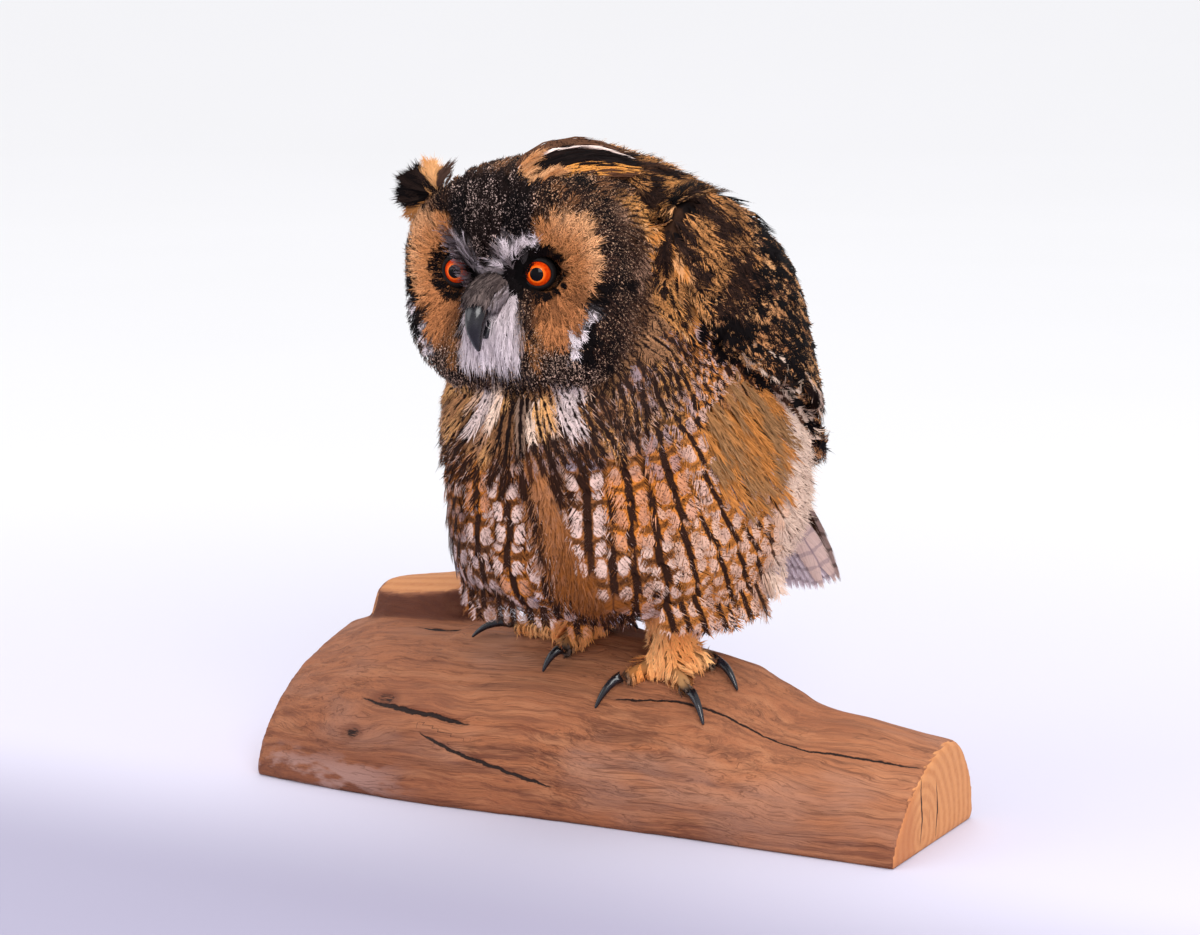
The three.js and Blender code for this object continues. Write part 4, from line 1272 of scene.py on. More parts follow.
def make_left_tuft():
    """Long feathers laid back along the crown: a white edge, a black band and a golden one."""
    path, along, half = guide(EAR_PATH, 2 * KNOTS, EAR_HALF_WIDTHS)
    wide = onto_plane(np.broadcast_to(EAR_SPREAD, path.shape), along)
    high = np.cross(along, wide)
    high = high * np.sign(high[:, 2:3] + 0.2 * high[:, 0:1])
    offsets, layers = np.meshgrid(np.linspace(-1, 1, 9), (-1.2, 0.4, 2.0))
    offset = offsets.ravel() + rng.normal(size=offsets.size) * 0.05
    layer = layers.ravel()
    count = len(offset)
    points = (path[None] + wide[None] * (offset[:, None] * half)[..., None]
              + high[None] * layer[:, None, None])
    share = np.clip(1 - 0.22 * np.abs(offset) ** 1.5 + 0.05 * rng.normal(size=count), 0.5, 1.04)
    shafts = head_shafts(cut(points, share), high[::2])
    worn = plain(count, mixed(BLACK, BLACK_BROWN, rng.random(count)))
    wear(worn, 1.0, mark=BLACK, pepper=0.1)
    golden = between((204, 136, 66), (140, 90, 56), rng.random(count) ** 2)
    wear(worn, step(offset, 0.3, 0.45), ground=golden, mark=BROWN, pepper=0.3)
    wear(worn, step(offset, 0.85, 0.95), ground=BROWN)
    wear(worn, step(offset, -0.86, -0.94), ground=linear(92, 62, 46), pepper=0.5)
    line = (np.abs(offset + 0.75) < 0.1) & (layer > 0)
    wear(worn, line, ground=linear(222, 200, 192), pepper=0.0)
    dress("tuft_left", shafts, worn, np.where(line, 0.8, COATS["tuft_left"].width), "ear_tuft_left")


def make_tuft_root():
    """The pale golden feathers round the left tuft's root."""
    roots = np.repeat(np.array(EAR_ROOTS, float), 4, axis=0)
    roots = roots + rng.normal(size=roots.shape) * 0.8 + np.array([1.0, 0.6, 1.2])
    ways = ROOT_WAY + rng.normal(size=roots.shape) * 0.9
    bow = roots + ways * 0.5 + np.array([0.6, 0.6, 1.8])
    shafts = head_shafts(resampled(np.stack([roots, bow, roots + ways], 1)), (0.3, 0.5, 0.8))
    worn = plain(len(roots), between((206, 152, 108), (176, 116, 72), rng.random(len(roots))))
    wear(worn, 1.0, mark=BROWN, pepper=0.25)
    dress("tuft_root", shafts, worn, COATS["tuft_root"].width)


def make_right_tuft():
    """A short fan: a low golden fringe, a black cap, bright golden tips and a dark wisp."""
    order = np.repeat(np.arange(len(CAP_TIPS)), 9)
    count = len(order)
    tip = np.column_stack([rng.uniform(21, 29, count), np.array(CAP_TIPS, float)[order]])
    tip[:, 1:] += rng.normal(size=(count, 2)) * 1.3
    root = np.array(CAP_ROOT) + rng.normal(size=(count, 3)) * np.array([2.2, 2.4, 2.4])
    root = root + 0.16 * (tip - root)
    tip[:, 0] += np.where((order >= FRINGE_TIPS) & (order < CAP_END), 3.0, -2.0)
    middle = (root + tip) / 2 + np.array([2.6, 0, 0.8])
    shafts = head_shafts(resampled(np.stack([root, middle, tip], 1)), (1.0, 0.45, 0.25))
    worn = plain(count, mixed(BLACK, linear(40, 28, 24), rng.random(count) ** 2))
    gold = linear(196, 130, 70)
    wisp = order >= BRIGHT_END
    wear(worn, 1.0, mark=BLACK)
    wear(worn, wisp, ground=linear(72, 52, 44))
    wear(worn, order < FRINGE_TIPS, ground=mixed(gold, BROWN, 0.5 * rng.random(count)))
    bright = mixed(gold, linear(216, 164, 114), rng.random(count))
    wear(worn, (order >= CAP_END) & ~wisp, ground=bright)
    dress("tuft_right", shafts, worn, np.where(wisp, 1.8, COATS["tuft_right"].width),
          "ear_tuft_right")


TAIL_PATH = [(-74, LEAN, 152), (-99, LEAN, 129), (-117, LEAN, 104), (-131, LEAN, 78)]
TAIL_HALF_WIDTHS = (12, 19, 24, 27)
TAIL_HALF_THICKNESS = (10, 7, 3.6, 1.6)
RECTRICES = 12


def make_tail():
    """Twelve long feathers, lapped like a hand of cards, each with a brown face and a pale back."""
    path, along, half, thick = guide(TAIL_PATH, 2 * KNOTS, TAIL_HALF_WIDTHS, TAIL_HALF_THICKNESS)
    sideways = np.broadcast_to((0.0, 1.0, 0.0), path.shape)
    upper = np.cross(sideways, along)
    upper = upper * np.sign(-upper[:, 0:1])
    offset = np.linspace(-1, 1, RECTRICES)
    inside = half - 5.5  # the outermost feathers' shafts stand this far in from the edge
    faces = (("upper", 1.0, 0.0, BROWN, BLACK_BROWN, ("tail",)),
             ("under", -1.0, np.array([0.0, 0.5, 0.9]), linear(216, 200, 208),
              linear(140, 120, 126), ()))
    for face, sign, lit, ground, mark, replaced in faces:
        height = (thick * sign)[None] + (0.8 * (1 - np.abs(offset)) * sign)[:, None]
        points = (path[None] + sideways[None] * (offset[:, None] * inside)[..., None]
                  + upper[None] * height[..., None])
        points = cut(points, 0.985 - 0.05 * np.abs(offset) ** 2)
        shafts = Shafts(points, np.broadcast_to(upper[::2] * sign + lit, points.shape))
        worn = plain(RECTRICES, ground)
        wear(worn, 1.0, mark=mark, bar=0.7, period=9.0, streak=0.3, pepper=0.1)
        wear(worn, step(np.abs(offset), 0.8, 1.0), ground=linear(196, 168, 160))
        dress("tail_" + face, shafts, worn, COATS["tail_upper"].width, *replaced)


WING_EDGE = [(26, 216), (-10, 196), (-50, 180), (-84, 170)]
COVERT_WAY, BEND_WAY = np.array([-0.80, 0.0, -0.60]), np.array([-0.55, 0, -0.84])
COVERT_ROWS, COVERT_GAP = 8, 0.072
FLIGHT_FEATHERS = 7


def on_flank(f, z, side):
    """Where a level line from the owl's side, at this forward place and height, meets the skin."""
    return skin.towards(Vector((f, LEAN, z)), Vector((0, side, 0)))


def wing_way(p, normal, part):
    """Coverts lie back and down, steeper at the bend of the wing."""
    steep = step(p[:, 0], -10, 30)[:, None]
    return onto_plane(COVERT_WAY * (1 - steep) + BEND_WAY * steep, normal)


def make_wing_rows():
    """Rows of coverts that lap towards the wing's lower edge, the lowest row edged with cream."""
    kept = []
    edge = np.array(WING_EDGE, float)
    for side in (1, -1):
        for row in range(COVERT_ROWS):
            rise = 15 + 9.5 * row
            for t in np.arange(0.3 * (row % 2), 1.0, COVERT_GAP):
                f, z = (np.interp(t * (len(edge) - 1), range(len(edge)), c) for c in edge.T)
                f, z = f + rise * 0.42 + rng.normal() * 1.0, z + rise * 0.9 + rng.normal() * 1.0
                at, part = on_flank(f, z, side)
                if part == WING:
                    kept.append((at, row, t))
    roots, rows, places = (np.array(v) for v in zip(*kept))
    lowest = (rows == 0) * step(places, 0.15, 0.3)

    def covert(worn, near):
        wear(worn, lowest, ground=CREAM, mark=BLACK_BROWN, streak=4.4, wobble=0.8, pepper=0.1,
             blotch=0.0, salt=0.0)

    coat("coverts", roots, flow=wing_way, worn=covert)


def make_primaries():
    """The folded flight feathers that reach past the wing's end."""
    roots = []
    for side in (1, -1):
        for i in range(FLIGHT_FEATHERS):
            at, _ = on_flank(-66 - 4.2 * i, 186 + 0.6 * i, side)
            if at is not None:
                roots.append(at + np.array([0, side * 0.5 * i, 0]))

    def striped(worn, near):
        wear(worn, 1.0, ground=linear(110, 88, 82), mark=BLACK_BROWN, streak=0.8, bar=1.0,
             period=6.5, spotty=0.0, pepper=0.5, blotch=0.0, salt=0.2, spot=linear(190, 170, 164))

    coat("flight", np.array(roots), flow=straight_flow(-0.68, 0.0, -0.74), worn=striped)


# ---------------------------------------------------------------- eyes and horn

GAZES = (("left", 1, 22), ("right", -1, 12))  # each eye's side and how far it turns outwards
EYE_RINGS, EYE_SIDES = 40, 64
CORNEA_BULGE, CORNEA_REACH = 0.9, 0.95  # millimetres, and radians from the eye's axis
LID_SIDES, LID_TUBE = 64, 12
LID_OPENING, LID_OVAL = 57, 3  # degrees
LID_THICKNESS, LID_BREADTH = 0.75, 1.5


def eye_centre(side):
    """The middle of an eyeball, a little nearer the owl's right than its socket's own middle."""
    return np.array([EYE_FORWARD, side * EYE_SIDE - EYE_SHIFT, EYE_UP])


def turned_eye(name, local, side, gaze_turn, tris):
    """A mesh from an eye's own frame, x out through its pupil, turned to its gaze."""
    verts = head_to_owl(local.reshape(-1, 3) @ turned(gaze_turn, 2).T + eye_centre(side))
    return fast_mesh(name, owl_to_row(verts), np.array(tris))


def eye_mesh(name, side, gaze_turn):
    """A glass eye: a ball with a bulging cornea. Rings run from the pupil."""
    turn = np.linspace(0, math.pi, EYE_RINGS + 1)[:, None]
    spin = np.linspace(0, 2 * math.pi, EYE_SIDES, endpoint=False)[None, :]
    radius = EYE_RADIUS + CORNEA_BULGE * np.clip(1 - (turn / CORNEA_REACH) ** 2, 0, 1) ** 1.5
    local = columns(radius * np.cos(turn), radius * np.sin(turn) * np.cos(spin),
                    radius * np.sin(turn) * np.sin(spin))
    tris = []
    for a, b, c, d in ring_quads(EYE_RINGS + 1, EYE_SIDES, EYE_RINGS):
        tris += [(a, c, d)] + ([(a, d, b)] if a >= EYE_SIDES else [])
    mesh = turned_eye(name, local, side, gaze_turn, tris)
    off_axis = np.hypot(local[..., 1], local[..., 2])
    set_numbers(mesh, "iris", np.where(local[..., 0] > 0, off_axis, 20.0).reshape(-1))
    return mesh


def eye_material():
    g = Graph("glass_eye")
    off = g.attribute("iris", "Fac")
    fine = g.noise(g.place(), 900.0, 3.0)
    orange = g.mix(g.ramp(fine, 0.35, 0.65), linear(206, 66, 8), linear(186, 42, 4))
    inner = g.mix(g.ramp(off, 2.9, 4.0), linear(236, 104, 18), orange)
    rim = g.mix(g.ramp(off, 4.7, 5.7), inner, linear(110, 22, 4))
    pupil = g.mix(g.ramp(off, 2.7, 2.9), linear(5, 4, 7), rim)
    colour = g.mix(g.ramp(off, 5.5, 5.8), pupil, linear(6, 5, 5))
    return g.surface(colour, 0.25, (fine, 0.02, 0.0001), Specular_IOR_Level=0.0, Coat_Weight=0.22,
                     Coat_Roughness=0.02)


def lid_mesh(name, side, gaze_turn):
    """A black lid: a soft ring that lies on the eyeball round the iris."""
    ring = []
    for a in np.linspace(0, 2 * math.pi, LID_SIDES, endpoint=False):
        opening = math.radians(LID_OPENING + LID_OVAL * math.cos(2 * a))
        centre = (EYE_RADIUS + 0.35) * np.array(
            [math.cos(opening), math.sin(opening) * math.cos(a), math.sin(opening) * math.sin(a)])
        along = np.array([-math.sin(opening), math.cos(opening) * math.cos(a),
                          math.cos(opening) * math.sin(a)])
        for b in np.linspace(0, 2 * math.pi, LID_TUBE, endpoint=False):
            ring.append(centre + unit(centre) * LID_THICKNESS * math.cos(b)
                        + along * LID_BREADTH * math.sin(b))
    tris = []
    for a, b, c, d in ring_quads(LID_SIDES, LID_TUBE, LID_SIDES):
        tris += [(a, b, d), (a, d, c)]
    return turned_eye(name, np.array(ring), side, gaze_turn, tris)


def lid_material():
    g = Graph("eyelid")
    fine = g.noise(g.place(), 1400.0, 3.0)
    return g.surface(g.mix(fine, linear(6, 5, 5), linear(20, 15, 15)),
                     g.ramp(fine, 0.3, 0.7, 0.5, 0.8), (fine, 0.4, 0.0002), Specular_IOR_Level=0.15)


def horn_material():
    """Slate-black horn with fine growth lines and a dull polish."""
    g = Graph("black_horn")
    at = g.place()
    lines = g.noise(g.stretched(at, (1.0, 1.0, 3.0)), 700.0, 3.0)
    broad = g.ramp(g.noise(at, 160.0), 0.35, 0.7)
    black = g.mix(broad, linear(9, 8, 11), linear(24, 22, 28))
    colour = g.mix(lines * 0.25, black, linear(44, 41, 50))
    return g.surface(colour, g.ramp(lines, 0.3, 0.8, 0.18, 0.38), (lines, 0.12, 0.0002),
                     Specular_IOR_Level=0.3, Coat_Weight=0.25, Coat_Roughness=0.12)


def smooth_horn(name, swell, material):
    """A CAD node of horn, rounded by subdivision and swollen back to its size."""
    verts, _, faces = node_mesh(name)
    v, n, f = reshaped(verts, faces, ("SUBSURF", {"levels": 2, "render_levels": 2}))
    mesh = fast_mesh(name + "_horn", (v + n * swell) * MM, fanned(f))
    mesh.materials.append(material)
    piece(name + "_horn", mesh, "horn", name)


# ---------------------------------------------------------------- the log

LOG_VOXEL = 1.7
LOG_CRACKS = [  # (points along the crack in the row's millimetres, half width, the face it is in)
    ([(-108, 39.5), (-90, 38), (-76, 37.2), (-62, 36.4), (-46, 35)], 0.75, "front"),
    ([(-72, 30), (-58, 26), (-46, 23), (-32, 20.5), (-16, 17.2), (0, 14.5)], 0.6, "front"),
    ([(14, -20.5), (40, -15), (70, -12), (100, -9), (130, -8.6), (157, -8.2)], 0.32, "top"),
    # the stub's shadowed gap, drawn as a crack and painted dark as shade
    ([(-104, 13), (-96, 12), (-84, 13.0), (-74, 19)], 1.2, "top"),
    ([(2, -13), (14, -11.5), (24, -13.5), (34, -12)], 0.55, "end"),
    ([(0, 4), (14, 5.5), (28, 3.5)], 0.45, "end"),
]
LOG_KNOTS = [((-105.7, -39.5, 25.7), 3.6), ((-95.0, -28.4, 40.6), 4.2)]
STUB_AT = -113  # the sawn stub's middle along the log
STUB_TILT = 5.5
PITH = (-12.0, 8.0)  # the middle of the end's rings, as y and z
FAR_OFF = 50.0


def crack_fields(v, n):
    """Each log point's signed distance across its nearest crack, and that crack's half width."""
    offset, width = np.full(len(v), FAR_OFF), np.zeros(len(v))
    x, y, z = v.T
    faces = {"front": (x, z, -n[:, 1] > 0.5), "top": (x, y, n[:, 2] > 0.5),
             "end": (z, y, n[:, 0] > 0.7)}
    for line, half, face in LOG_CRACKS:
        line = np.array(line, float)
        run, height, facing = faces[face]
        signed = height - np.interp(run, line[:, 0], line[:, 1])
        first, last = line[0, 0], line[-1, 0]
        taper = half * step(run, first - 1, first + 14) * step(run, last + 1, last - 14)
        closer = facing & (taper > 0) & (np.abs(signed) < np.abs(offset)) & (np.abs(signed) < 8)
        offset[closer], width[closer] = signed[closer], taper[closer]
    return offset, width


def log_piece():
    """The split log: rounded from its solid, then given grain, cracks and knots."""
    verts, _, faces = node_mesh("log")
    v, n, f = reshaped(verts, faces, voxels(LOG_VOXEL), smoothing(6))
    long_grain = noise(v * np.array([0.05, 1.0, 1.0]), 3.2, 30) - 0.5
    broad = noise(v * np.array([0.25, 1.0, 1.0]), 14, 31) - 0.5
    offset, width = crack_fields(v, n)
    split = step(np.abs(offset) - width, 1.2, -0.6) * step(width, 0.0, 0.3)
    knot_gap = np.full(len(v), FAR_OFF)
    for knot, size in LOG_KNOTS:
        around_knot = np.linalg.norm((v - knot) * np.array([0.62, 1.0, 1.0]), axis=1) / size
        knot_gap = np.minimum(knot_gap, around_knot)
    shift = 0.9 * long_grain + 1.3 * broad - 1.4 * split * np.minimum(width, 1.5)
    shift = shift - 1.0 * step(knot_gap, 1.0, 0.4)
    shift = np.where(np.abs(n[:, 0]) > 0.7, 0.5 * broad, shift)  # the sawn ends
    shift = np.where(v[:, 2] < 1.0, 0.0, shift)  # the flat underside
    shift = np.where((n[:, 2] > 0.9) & (v[:, 2] > 74), 0.3 * long_grain, shift)  # the stub's top
    v = v + n * shift[:, None]
    # the stub's sawn top tips a little towards the front
    from_stub = np.abs(v[:, 0] - STUB_AT)
    on_stub = step(from_stub, 38, 30) * step(v[:, 2], 60, 77)
    v[:, 2] = v[:, 2] - STUB_TILT * on_stub * step(v[:, 1], 48, 24)
    v[:, 2] = np.maximum(v[:, 2], 0.0)
    mesh = fast_mesh("log_wood", v * MM, fanned(f))
    # a crack's offset and half width, and the knots: the material draws them finely
    set_numbers(mesh, "crack", np.column_stack([offset, width, np.minimum(knot_gap, 6.0)]))
    # painted shade on the stub's sides, down into the crevice at its foot
    shaded_by_stub = step(from_stub, 37, 29) * step(v[:, 2], 55, 60) * step(n[:, 2], 0.9, 0.6)
    set_numbers(mesh, "stub_shade", shaded_by_stub * step(v[:, 1], 0, 12) * step(v[:, 1], 40, 30))
    mesh.materials.append(log_material())
    piece("log_wood", mesh, "wood", "log")


def log_material():
    g = Graph("split_log_wood")
    at = g.node("VectorMath", 0, {"Vector": g.place(), "Scale": 1 / MM}, operation="SCALE")
    x, y, z = g.split(at)
    facing = g.split(g.node("NewGeometry", "True Normal"))
    offset, width, knot = g.split(g.attribute("crack", "Vector"))
    # the grain, bent by slow waves and round the knots
    warp = g.noise(g.stretched(at, (0.012, 0.03, 0.03)), 1.0, 3.0)
    swirl = g.ramp(knot, 5.0, 0.8) * 5.0
    shift = g.node("CombineXYZ", 0, {"Y": warp * 22.0, "Z": warp * 18.0 + swirl})
    bent = g.node("VectorMath", 0, {0: at, 1: shift}, operation="ADD")

    def grained(along, across, detail, rough=0.5):
        return g.noise(g.stretched(bent, (along, across, across)), 1.0, detail, rough)

    grain, streaks = grained(0.016, 0.34, 6.0, 0.65), grained(0.012, 0.16, 4.0, 0.6)
    fibre, pores = grained(0.07, 1.9, 4.0, 0.65), grained(0.11, 3.2, 2.0, 0.6)
    patch = g.noise(g.stretched(at, (0.014, 0.03, 0.03)), 1.0, 3.0)
    # the sawn ends and the stub's sawn top, with rings
    dy, dz = y - PITH[0], z - PITH[1]
    ring = g.maths("SINE", (g.maths("SQRT", dy * dy + dz * dz) + warp * 6.0) * 1.15)
    face = g.layered(
        g.mix(g.ramp(ring, -0.9, 1.0), linear(200, 134, 84), linear(180, 112, 66)),
        (g.noise(at, 0.4, 4.0) * 0.7, linear(212, 152, 102)),
        (g.ramp(y, -14.0, -26.0) * 0.6, linear(176, 106, 66)))
    sawn = g.ramp(z, 74.0, 76.0) * g.ramp(facing[2], 0.8, 0.95)
    end = g.maths("MAXIMUM", g.ramp(abs(facing[0]), 0.6, 0.8), sawn * 0.8)
    # thin dark seams away from the ends, then cracks and knots; the cracks and the knots' pits are
    # painted near-black as painted shade in their depths
    seam = g.ramp(abs(grained(0.012, 0.3, 3.0) - 0.5), 0.02, 0.0) * g.ramp(patch, 0.34, 0.5)
    seam = seam * (1.0 - end)
    ragged = (g.noise(at, 0.16, 3.0, 0.6) - 0.5) * 2.4
    open_by = width - abs(offset + ragged)
    split = g.ramp(open_by, -0.3, 0.1) * g.ramp(width, 0.02, 0.1)
    rough = knot + ragged * 0.14
    pit = g.ramp(rough, 0.75, 0.45) * g.ramp(fibre, 0.6, 0.45)
    halo = g.ramp(rough, 1.5, 0.9) * 0.5
    lilac = g.noise(g.stretched(at, (0.05, 0.12, 0.12)), 1.0, 4.0)
    lilac = g.ramp(x, -60.0, -100.0) * g.ramp(z, 20.0, 8.0) * g.ramp(lilac, 0.42, 0.54)
    colour = g.layered(
        g.mix(g.ramp(grain, 0.4, 0.58), linear(90, 46, 28), linear(144, 86, 54)),
        (g.ramp(streaks, 0.52, 0.64) * 0.7, linear(166, 110, 76)),
        (g.ramp(streaks, 0.44, 0.34) * 0.6, linear(112, 62, 40)),
        (g.ramp(fibre, 0.42, 0.7) * 0.4, linear(168, 112, 78)),
        (g.ramp(patch, 0.5, 0.66) * 0.55, linear(146, 108, 92)),
        (g.ramp(patch, 0.45, 0.3) * 0.4, linear(124, 62, 36)),
        (g.ramp(pores, 0.52, 0.66) * 0.45, linear(70, 38, 26)),
        # painted light: paler where it faces up; painted shade: darker low down and to the left
        (g.ramp(facing[2], 0.25, 0.95) * 0.3, linear(186, 126, 92)),
        (g.ramp(z, 30.0, 4.0) * 0.35, linear(112, 64, 44)),
        (g.ramp(x, -30.0, -90.0) * 0.35, linear(96, 52, 36)),
        (lilac, linear(140, 104, 94)),
        # painted shade in the crevice by the stub
        (g.attribute("stub_shade", "Fac") * 0.8, linear(76, 38, 25)),  # in the crevice by the stub
        (end, face),
        (seam * 0.4, linear(74, 38, 24)),
        (halo, linear(96, 54, 38)),
        # painted shade: the cracks and knot pits near-black
        (g.maths("MAXIMUM", split, pit), linear(30, 14, 10)))
    height = grain * 0.6 + fibre * 0.6 - pores * 0.25 - seam * 0.6 - split * 1.5
    return g.surface(colour, g.ramp(fibre, 0.2, 0.8, 0.62, 0.85), (height, 0.5, 0.0012),
                     Specular_IOR_Level=0.25)


# ---------------------------------------------------------------- the skin's own mesh

SKIN_TONE = 0.4  # the skin is darker than the coat, so gaps between feathers read as shade


def skin_piece():
    worn = plumage(skin.verts, skin.part)
    mesh = fast_mesh("owl_skin", owl_to_row(skin.verts), skin.tris)
    set_numbers(mesh, "ground", worn["ground"] * SKIN_TONE)
    set_numbers(mesh, "mark", worn["mark"])
    set_numbers(mesh, "streaky", np.clip(worn["streak"] / 8, 0, 0.6))
    g = Graph("owl_skin")
    fine = g.noise(g.place(), 500.0, 3.0)
    share = g.attribute("streaky", "Fac") * g.ramp(fine, 0.3, 0.7, 0.6, 1.4)
    colour = g.mix(share, g.attribute("ground", "Color"), g.attribute("mark", "Color"))
    mesh.materials.append(g.surface(colour, g.ramp(fine, 0.3, 0.7, 0.7, 0.9), (fine, 0.5, 0.0006),
                                    Specular_IOR_Level=0.05))
    piece("owl_skin", mesh, "breast_feathers", *FLESH)


# ---------------------------------------------------------------- the coat


def make_breast():
    def behind(p, part):
        return (part == TRUNK) & (p[:, 0] < -30) & (p[:, 2] > 98) & (p[:, 2] < 176)

    roots = breast_roots()
    coat("breast", roots, stiff=0.35 + 0.5 * step(roots[:, 2], 128, 108))
    grow("under", parts_mask(TRUNK))
    grow("fluff", behind)


def make_silk():
    """Long soft hairs: the band that runs down into the right leg, and over the flank."""
    def band(p, part):
        return (band_gap(p) < 0) & (part == TRUNK) & (p[:, 0] > 30) & (p[:, 2] < 160)

    def flank(p, part):
        return (np.hypot(p[:, 0] + 6, p[:, 2] - 175) < 26) & (part == TRUNK)

    def brown_gold(worn, near):
        share = step(noise(near, 9, 29) + 0.8 * (rng.random(len(near)) - 0.5), 0.25, 0.75)
        wear(worn, 1.0, ground=between((146, 106, 70), (184, 118, 60), share),
             mark=linear(84, 52, 30), streak=0.1, bar=0.0, spotty=0.0, pepper=0.0)

    roots = skin.scatter(band, COATS["band"].spacing)
    coat("band", roots, length=COATS["band"].length + 5 * step(roots[:, 2], 120, 98),
         stiff=0.15 + 0.75 * step(roots[:, 2], 124, 104))
    grow("silk", flank, worn=brown_gold)


def make_fringe():
    """The loose lower edge of the belly, whose feathers hang free and end in dark points."""
    line = [around(turn, 103 + rng.uniform(-5, 6))[0] for turn in np.arange(0, 2 * math.pi, 0.105)]
    line = np.array(line)
    part = skin.nearest(line)[2]
    banded = (band_gap(line) < 4) & (line[:, 0] > 0)
    line = line[(part == TRUNK) & ~banded]

    def hanging(p, normal, part):
        return unit(normal * np.array([0.35, 0.35, 0.0]) + np.array([-0.28, 0.0, -1.0]))

    shorter = 6.5 * step(line[:, 1], 38, 26) * step(line[:, 0], 20, 40)
    coat("fringe", line, length=COATS["fringe"].length - shorter, flow=hanging)


def make_back():
    def back_only(p, part):
        return (part == TRUNK) & (((p[:, 0] < -30) & (p[:, 2] > 160)) | (p[:, 2] > 228))

    grow("back", back_only)


def make_shoulders():
    """Soft feathers that close the way from the neck onto the wing's bend."""
    def shoulder(p, part):
        on = (p[:, 0] > -16) & (p[:, 0] < 52) & (p[:, 2] > 196) & (np.abs(p[:, 1] - LEAN) > 24)
        return on & np.isin(part, (TRUNK, WING, NECK))

    def bend(p, part):
        near = np.linalg.norm(p * np.array([1, 0, 1]) - np.array([16, 0, 258]), axis=1) < 26
        return near & np.isin(part, (TRUNK, WING, NECK)) & (np.abs(p[:, 1] - LEAN) > 22)

    def blotched(worn, near):
        share = noise(near * np.array([0.8, 1, 0.6]), 5, 45) + 0.3 * rng.random(len(near))
        wear(worn, 1.0, ground=between((46, 30, 24), (190, 130, 78), step(share, 0.66, 0.84)),
             mark=BLACK_BROWN, streak=0.7, wobble=1.5, pepper=0.6, blotch=0.0, salt=0.0, spotty=0.0,
             bar=0.0)

    down_back = straight_flow(-0.45, 0.0, -0.9)
    grow("bend", bend, flow=down_back, worn=blotched)
    grow("shoulders", shoulder, flow=down_back)


def make_neck():
    """The collar's long soft strands, parted below the chin, then the sides and the nape."""
    def collar_flow(p, normal, part):
        f, l, _ = p.T
        front = step(f, 44, 58)
        parted = unit(columns(0.1, np.clip((l - 4) / 30, -0.9, 0.9) * front, -1))
        return onto_plane(unit(mixed(coat_flow(p, normal, part), parted, front)), normal)

    def front_only(p, part):
        return (part == NECK) & (p[:, 0] > 44) & (p[:, 2] > 160)

    grow("collar", front_only)
    grow("neck", parts_mask(NECK), flow=collar_flow)


def make_head():
    def rest_of_head(p, part):
        h = owl_to_head(p)
        away = disc_reach(h) * on_face(h) + 2 * (1 - on_face(h))
        return (part == HEADS) & (away > 0.98)

    def discs(p, part):
        h = owl_to_head(p)
        return (part == HEADS) & (disc_reach(h) < 1.1) & (h[:, 0] > 18) & (from_eye(h) > 7.6)

    def middle(p, part):
        h = owl_to_head(p)
        f, l, u = h.T
        half = 11.5 + 0.12 * np.clip(-u, 0, 45)
        on = (np.abs(l) < half) & (u < 22) & (u > -36) & (f > 20)
        return (part == HEADS) & on & (from_eye(h) > 8.0)

    head, face, lores = (COATS[name] for name in ("head", "face", "lores"))
    roots = skin.scatter(rest_of_head, head.spacing)
    far = step(owl_to_head(roots)[:, 0], 14, -6)
    coat("head", roots, length=head.length + 6 * far, width=head.width + 1.5 * far)
    roots = skin.scatter(discs, face.spacing)
    edge = step(disc_reach(owl_to_head(roots)), 0.6, 0.95)
    coat("face", roots, length=face.length - 2.2 * edge)
    roots = skin.scatter(middle, lores.spacing)
    coat("lores", roots, length=lores.length + 3.5 * step(owl_to_head(roots)[:, 2], 2, -8))


BILL_PATH = [(36, 0, -3), (47.5, 0, -8), (53, 0, -17), (51, 0, -27.5)]
BILL_HALF = (6.5, 5.6, 3.8, 1.6)
BILL_COVER = 1000  # bristles
RIDGES = (  # side, bristles, (left, up, forward) from and to, then the way they point
    (1, 120, (6, 3, 33.5), (16, 16, 32), (5.5, 1.0, 4.0)),
    (-1, 220, (10.8, -5, 33.5), (24.5, 20, 31), (7.0, 1.6, 1.5)),
)


def bill_cover():
    """Bristles laid along the bill's root: their paths, the ways they face and their colours."""
    path, along, half = guide(BILL_PATH, 16, BILL_HALF)
    left = np.array([0.0, 1.0, 0.0])
    top = np.cross(np.broadcast_to(left, path.shape), along)
    top = top * np.sign(top[:, 0:1] + top[:, 2:3])
    turn = np.radians(rng.uniform(-150, 150, BILL_COVER))
    rise = rng.uniform(0.4, 2.8, BILL_COVER)
    sway = rng.normal(size=BILL_COVER) * 0.25
    first = rng.uniform(0.0, 0.16, BILL_COVER)
    last = first + rng.uniform(0.2, 0.34, BILL_COVER) + 0.03 * np.cos(turn)
    run = np.linspace(0.2, 1, KNOTS)[:, None]
    paths, outs = [], []
    for i in range(BILL_COVER):
        x = np.linspace(first[i], last[i], KNOTS) * (len(path) - 1)
        spin = turn[i] + sway[i] * run
        out = read_at(top, x) * np.cos(spin) + left * np.sin(spin)
        reach = np.interp(x, range(len(path)), half)[:, None] + rise[i] * run
        paths.append(read_at(path, x) + out * reach)
        outs.append(out)
    grey = between((122, 106, 102), (30, 24, 26), rng.random(BILL_COVER) ** 0.8)
    return paths, outs, mixed(grey, linear(190, 176, 180), step(np.abs(turn), 1.2, 1.8))


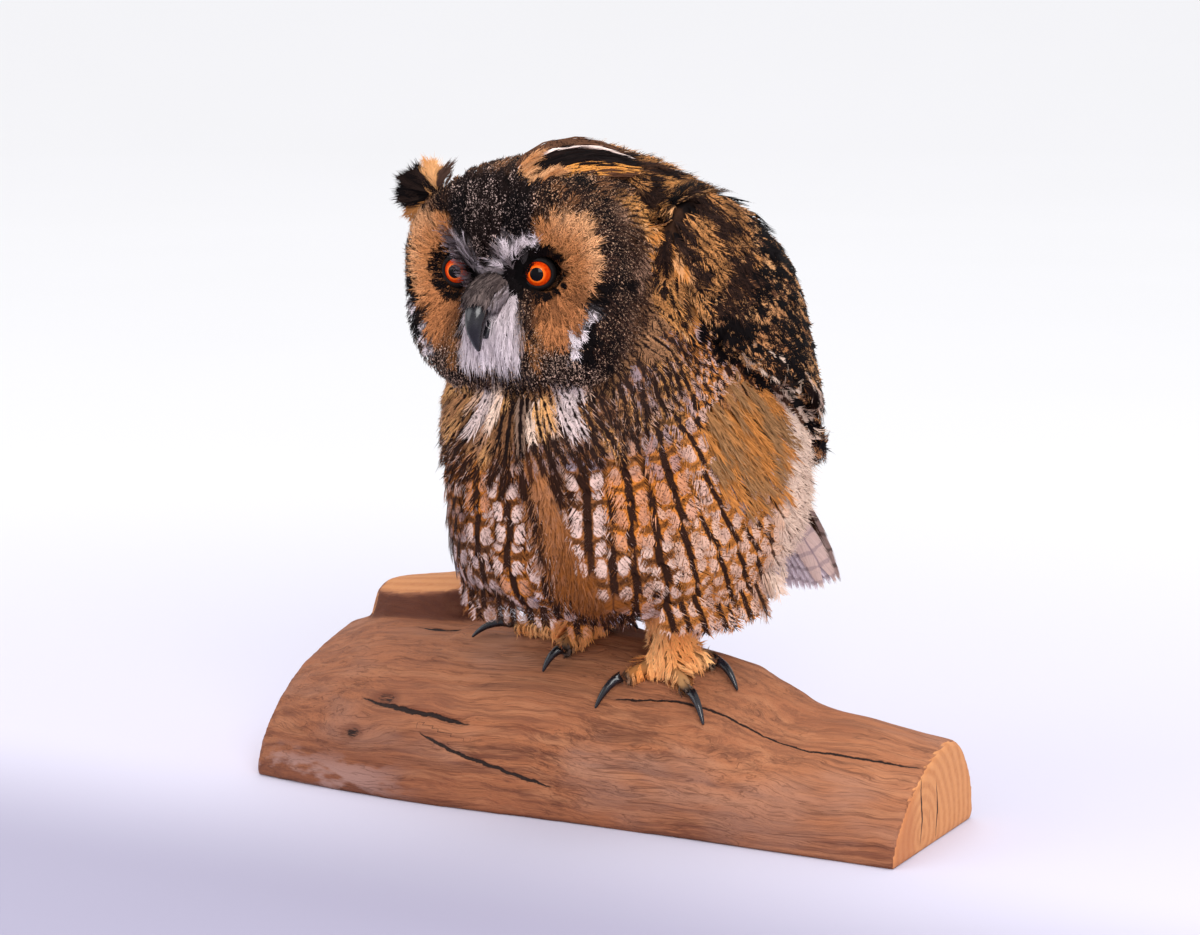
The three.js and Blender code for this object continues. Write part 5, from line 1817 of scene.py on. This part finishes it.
def make_bristles():
    """Hair-like feathers: along the bill over its root, and the raised ridge beside each eye."""
    paths, outs, ground = bill_cover()
    grounds = [ground]
    for side, count, start, end, way in RIDGES:
        mirrored = np.array([1, side, 1])
        for _ in range(count):
            t = rng.random()
            l, u, f = (a + (b - a) * t for a, b in zip(start, end))
            root = np.array([f, side * l, u]) + rng.normal(size=3) * np.array([0.3, 1.1, 1.1])
            push = np.array(way) * mirrored * rng.uniform(0.8, 1.2) + rng.normal(size=3) * 0.7
            bow = root + push * 0.55 + np.array([0.8, 0, 0.3])
            paths.append(resampled(np.array([root, bow, root + push])))
            outs.append(np.broadcast_to(mirrored * (0.6, 0.2, 0.75), (KNOTS, 3)))
        grounds.append(between((196, 182, 186), (74, 62, 64), rng.random(count) ** 2))
    worn = plain(len(paths), np.concatenate(grounds))
    dress("bristles", head_shafts(np.array(paths), np.array(outs)), worn, COATS["bristles"].width)


def make_eye_rings():
    """Short black hairs that stand away round each eye."""
    def away(p, normal, part):
        h = owl_to_head(p)
        out = h - np.array([0, 0, EYE_UP])
        out[:, 0] = 0
        out[:, 1] -= np.where(h[:, 1] > -EYE_SHIFT, EYE_SIDE, -EYE_SIDE) - EYE_SHIFT
        return onto_plane(unit(out) @ HEAD.T, normal)

    def black(worn, near):
        wear(worn, 1.0, ground=BLACK, pepper=0.0, streak=0.0, salt=0.0)

    rings = []
    for side in (1, -1):
        for reach in (7.0, 8.0, 9.0):
            turn = np.arange(0, 2 * math.pi, 0.13)
            rings.append(columns(33, side * EYE_SIDE - EYE_SHIFT + 1.05 * reach * np.cos(turn),
                                 EYE_UP + 0.4 + reach * np.sin(turn)))
    roots = skin.nearest(head_to_owl(np.concatenate(rings)))[0]
    coat("eye_rings", roots + rng.normal(size=roots.shape) * 0.3, flow=away, worn=black)


make_camera()
make_lights()
make_floor()
skin_piece()
make_breast()
make_silk()
make_fringe()
make_back()
grow("wings", parts_mask(WING, PRIMARY))
make_wing_rows()
make_primaries()
make_shoulders()
make_neck()
make_head()
make_left_tuft()
make_tuft_root()
make_right_tuft()
make_tail()
make_bristles()
make_eye_rings()
grow("legs", parts_mask(LEG))
grow("toes", parts_mask(TOE))

HORN_SWELL = {"claw": 0.25, "bill": 0.35}  # millimetres, by how the node's name starts
glass, lids, horn = eye_material(), lid_material(), horn_material()
for side_name, side_sign, gaze in GAZES:
    eye = eye_mesh("glass_eye_" + side_name, side_sign, gaze)
    eye.materials.append(glass)
    piece("glass_eye_" + side_name, eye, "eye", "eye_" + side_name)
    lid = lid_mesh("eyelid_" + side_name, side_sign, gaze)
    lid.materials.append(lids)
    piece("eyelid_" + side_name, lid, "face_feathers")
for node_name in sorted(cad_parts):
    for start_of_name, swell in HORN_SWELL.items():
        if node_name.startswith(start_of_name):
            smooth_horn(node_name, swell, horn)
log_piece()
